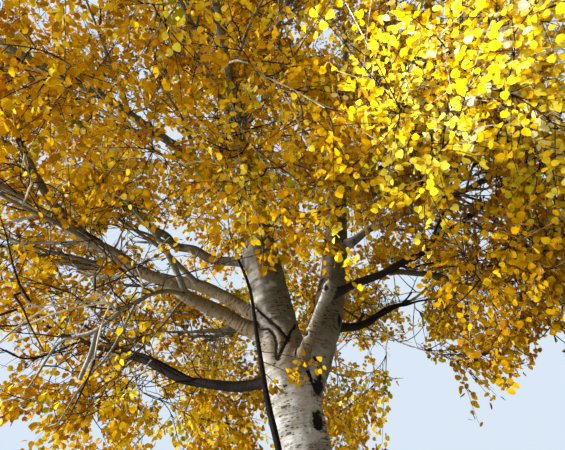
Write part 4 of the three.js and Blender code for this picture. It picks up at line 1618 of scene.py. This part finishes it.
class POPLAR_OT_leaves(bpy.types.Operator):
    """Hangs the leaves, one piece for each autumn tint"""

    bl_idname = "poplar.leaves"
    bl_label = "Leaves"

    def execute(self, context):
        settings = context.scene.poplar_crown
        crown = grown_crown()
        random = np.random.default_rng(settings.seed + 1)
        sprays = np.array(crown.sprays)
        ranks = np.argsort(np.argsort(crown.dealt)) / len(sprays)
        bounds = np.cumsum([tint[2] for tint in TINTS])
        dealt = np.searchsorted(bounds / bounds[-1], ranks, side="right")
        # Cream, a painted highlight, goes to the sprays painted as sunlit.
        dealt[np.array(crown.dealt) < 0] = len(TINTS) - 1
        for k, (name, colour, _) in enumerate(TINTS):
            points, faces = leaf_arrays(sprays[dealt == k], settings, random)
            piece = mesh_object(f"leaves_{name}", points, faces)
            gloss = 0.06 if name in ("lemon", "yellow") else 0.0
            piece.data.materials.append(plain_material(f"Leaf {name}", (*colour, 1.0), 0.45, gloss))
            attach(piece, "root")
        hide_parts(*[f"mass_{mass.name}" for mass in MASSES])
        return {"FINISHED"}


# The pale backdrop, and the glow that lights the tree from all round.
BACKDROP = {"Color": (0.74, 0.85, 0.98, 1.0), "Strength": 0.95}
GLOW = {"Color": (0.97, 0.98, 1.0, 1.0), "Strength": 0.16}
# Where the markers of the two suns stand, and the colour of the spots' light.
SUN_PLACE = (-8, -5, 9)
SPOT_COLOUR = (1.0, 0.99, 0.96)
# The width of the camera's sensor, in millimetres.
SENSOR_WIDTH = 36


def add_light(kind, name, place, way, energy, colour, **settings):
    """A light that shines one way."""
    bpy.ops.object.light_add(type=kind, location=place)
    light = bpy.context.object
    light.name = name
    light.rotation_euler = Vector(way).to_track_quat("-Z", "Y").to_euler()
    light.data.energy = energy
    light.data.color = colour
    for key, value in settings.items():
        setattr(light.data, key, value)


class POPLAR_OT_stage(bpy.types.Operator):
    """Lays the pale floor and sets the lights and the camera of the photograph"""

    bl_idname = "poplar.stage"
    bl_label = "Stage"

    def execute(self, context):
        bpy.ops.object.select_all(action="DESELECT")
        bpy.ops.mesh.primitive_plane_add(size=90, location=(0, 0, -0.002))
        floor = context.object
        floor.name = "floor"
        floor.data.materials.append(plain_material("Pale floor", (0.80, 0.79, 0.76, 1.0), 0.9, 0.1))
        world = bpy.data.worlds.new("Soft studio")
        world.use_nodes = True
        tree = world.node_tree
        glow = node(tree, "ShaderNodeBackground", None, GLOW).outputs[0]
        backdrop = node(tree, "ShaderNodeBackground", None, BACKDROP).outputs[0]
        straight = node(tree, "ShaderNodeLightPath").outputs["Is Camera Ray"]
        both = node(tree, "ShaderNodeMixShader", None, {0: straight, 1: glow, 2: backdrop})
        tree.links.new(both.outputs[0], tree.nodes["World Output"].inputs["Surface"])
        context.scene.world = world
        suns = [
            ("high_light", (0.80, 0.10, -0.58), 2.6, 2, (1.0, 0.98, 0.95)),
            ("low_light", (0.98, 0.19, -0.05), 4.8, 5, (1.0, 1.0, 0.99)),
        ]
        for name, way, energy, degrees, colour in suns:
            add_light("SUN", name, SUN_PLACE, way, energy, colour, angle=math.radians(degrees))
        spots = [
            ("under_light", (-7.0, -2.4, 0.5), (7.2, 1.6, 3.6), 850, 52, 0.7),
            ("spray_light", (-2.6, -3.4, 1.2), (3.16, 1.65, 2.40), 2000, 15, 0.12),
        ]
        for name, place, way, energy, degrees, softness in spots:
            shape = {"spot_size": math.radians(degrees), "spot_blend": 0.8, "shadow_soft_size": softness}
            add_light("SPOT", name, place, way, energy, SPOT_COLOUR, **shape)
        bpy.ops.object.camera_add(location=VIEWPOINT, rotation=(math.radians(90) + VIEW_TILT, 0, 0))
        camera = context.object
        camera.data.lens = SENSOR_WIDTH * FOCAL_LENGTH / PICTURE_WIDTH
        camera.data.sensor_width = SENSOR_WIDTH
        camera.data.clip_end = 200
        context.scene.camera = camera
        context.scene.view_settings.view_transform = "Standard"
        return {"FINISHED"}


class POPLAR_PT_panel(bpy.types.Panel):
    """The steps that build the poplar"""

    bl_label = "Poplar"
    bl_idname = "POPLAR_PT_panel"
    bl_space_type = "VIEW_3D"
    bl_region_type = "UI"
    bl_category = "Poplar"

    def draw(self, context):
        for step in STEPS:
            self.layout.operator(step.bl_idname)
        for settings in (context.scene.poplar_bark, context.scene.poplar_crown):
            for key in settings.__annotations__:
                self.layout.prop(settings, key)


STEPS = (POPLAR_OT_stage, POPLAR_OT_trunk, POPLAR_OT_boughs, POPLAR_OT_twigs, POPLAR_OT_leaves)
CLASSES = (PoplarBark, PoplarCrown, *STEPS, POPLAR_PT_panel)


def register():
    """Registers the panel, the operators and their settings."""
    for cls in CLASSES:
        bpy.utils.register_class(cls)
    bpy.types.Scene.poplar_bark = bpy.props.PointerProperty(type=PoplarBark)
    bpy.types.Scene.poplar_crown = bpy.props.PointerProperty(type=PoplarCrown)


def unregister():
    """Takes all of it out again."""
    del bpy.types.Scene.poplar_crown
    del bpy.types.Scene.poplar_bark
    for cls in reversed(CLASSES):
        bpy.utils.unregister_class(cls)


def main():
    """Builds the whole poplar."""
    register()
    bark_marks_group()
    bpy.ops.poplar.stage()
    bpy.ops.poplar.trunk()
    bpy.ops.poplar.boughs()
    bpy.ops.poplar.twigs()
    bpy.ops.poplar.leaves()
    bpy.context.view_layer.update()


if __name__ == "__main__":
    main()
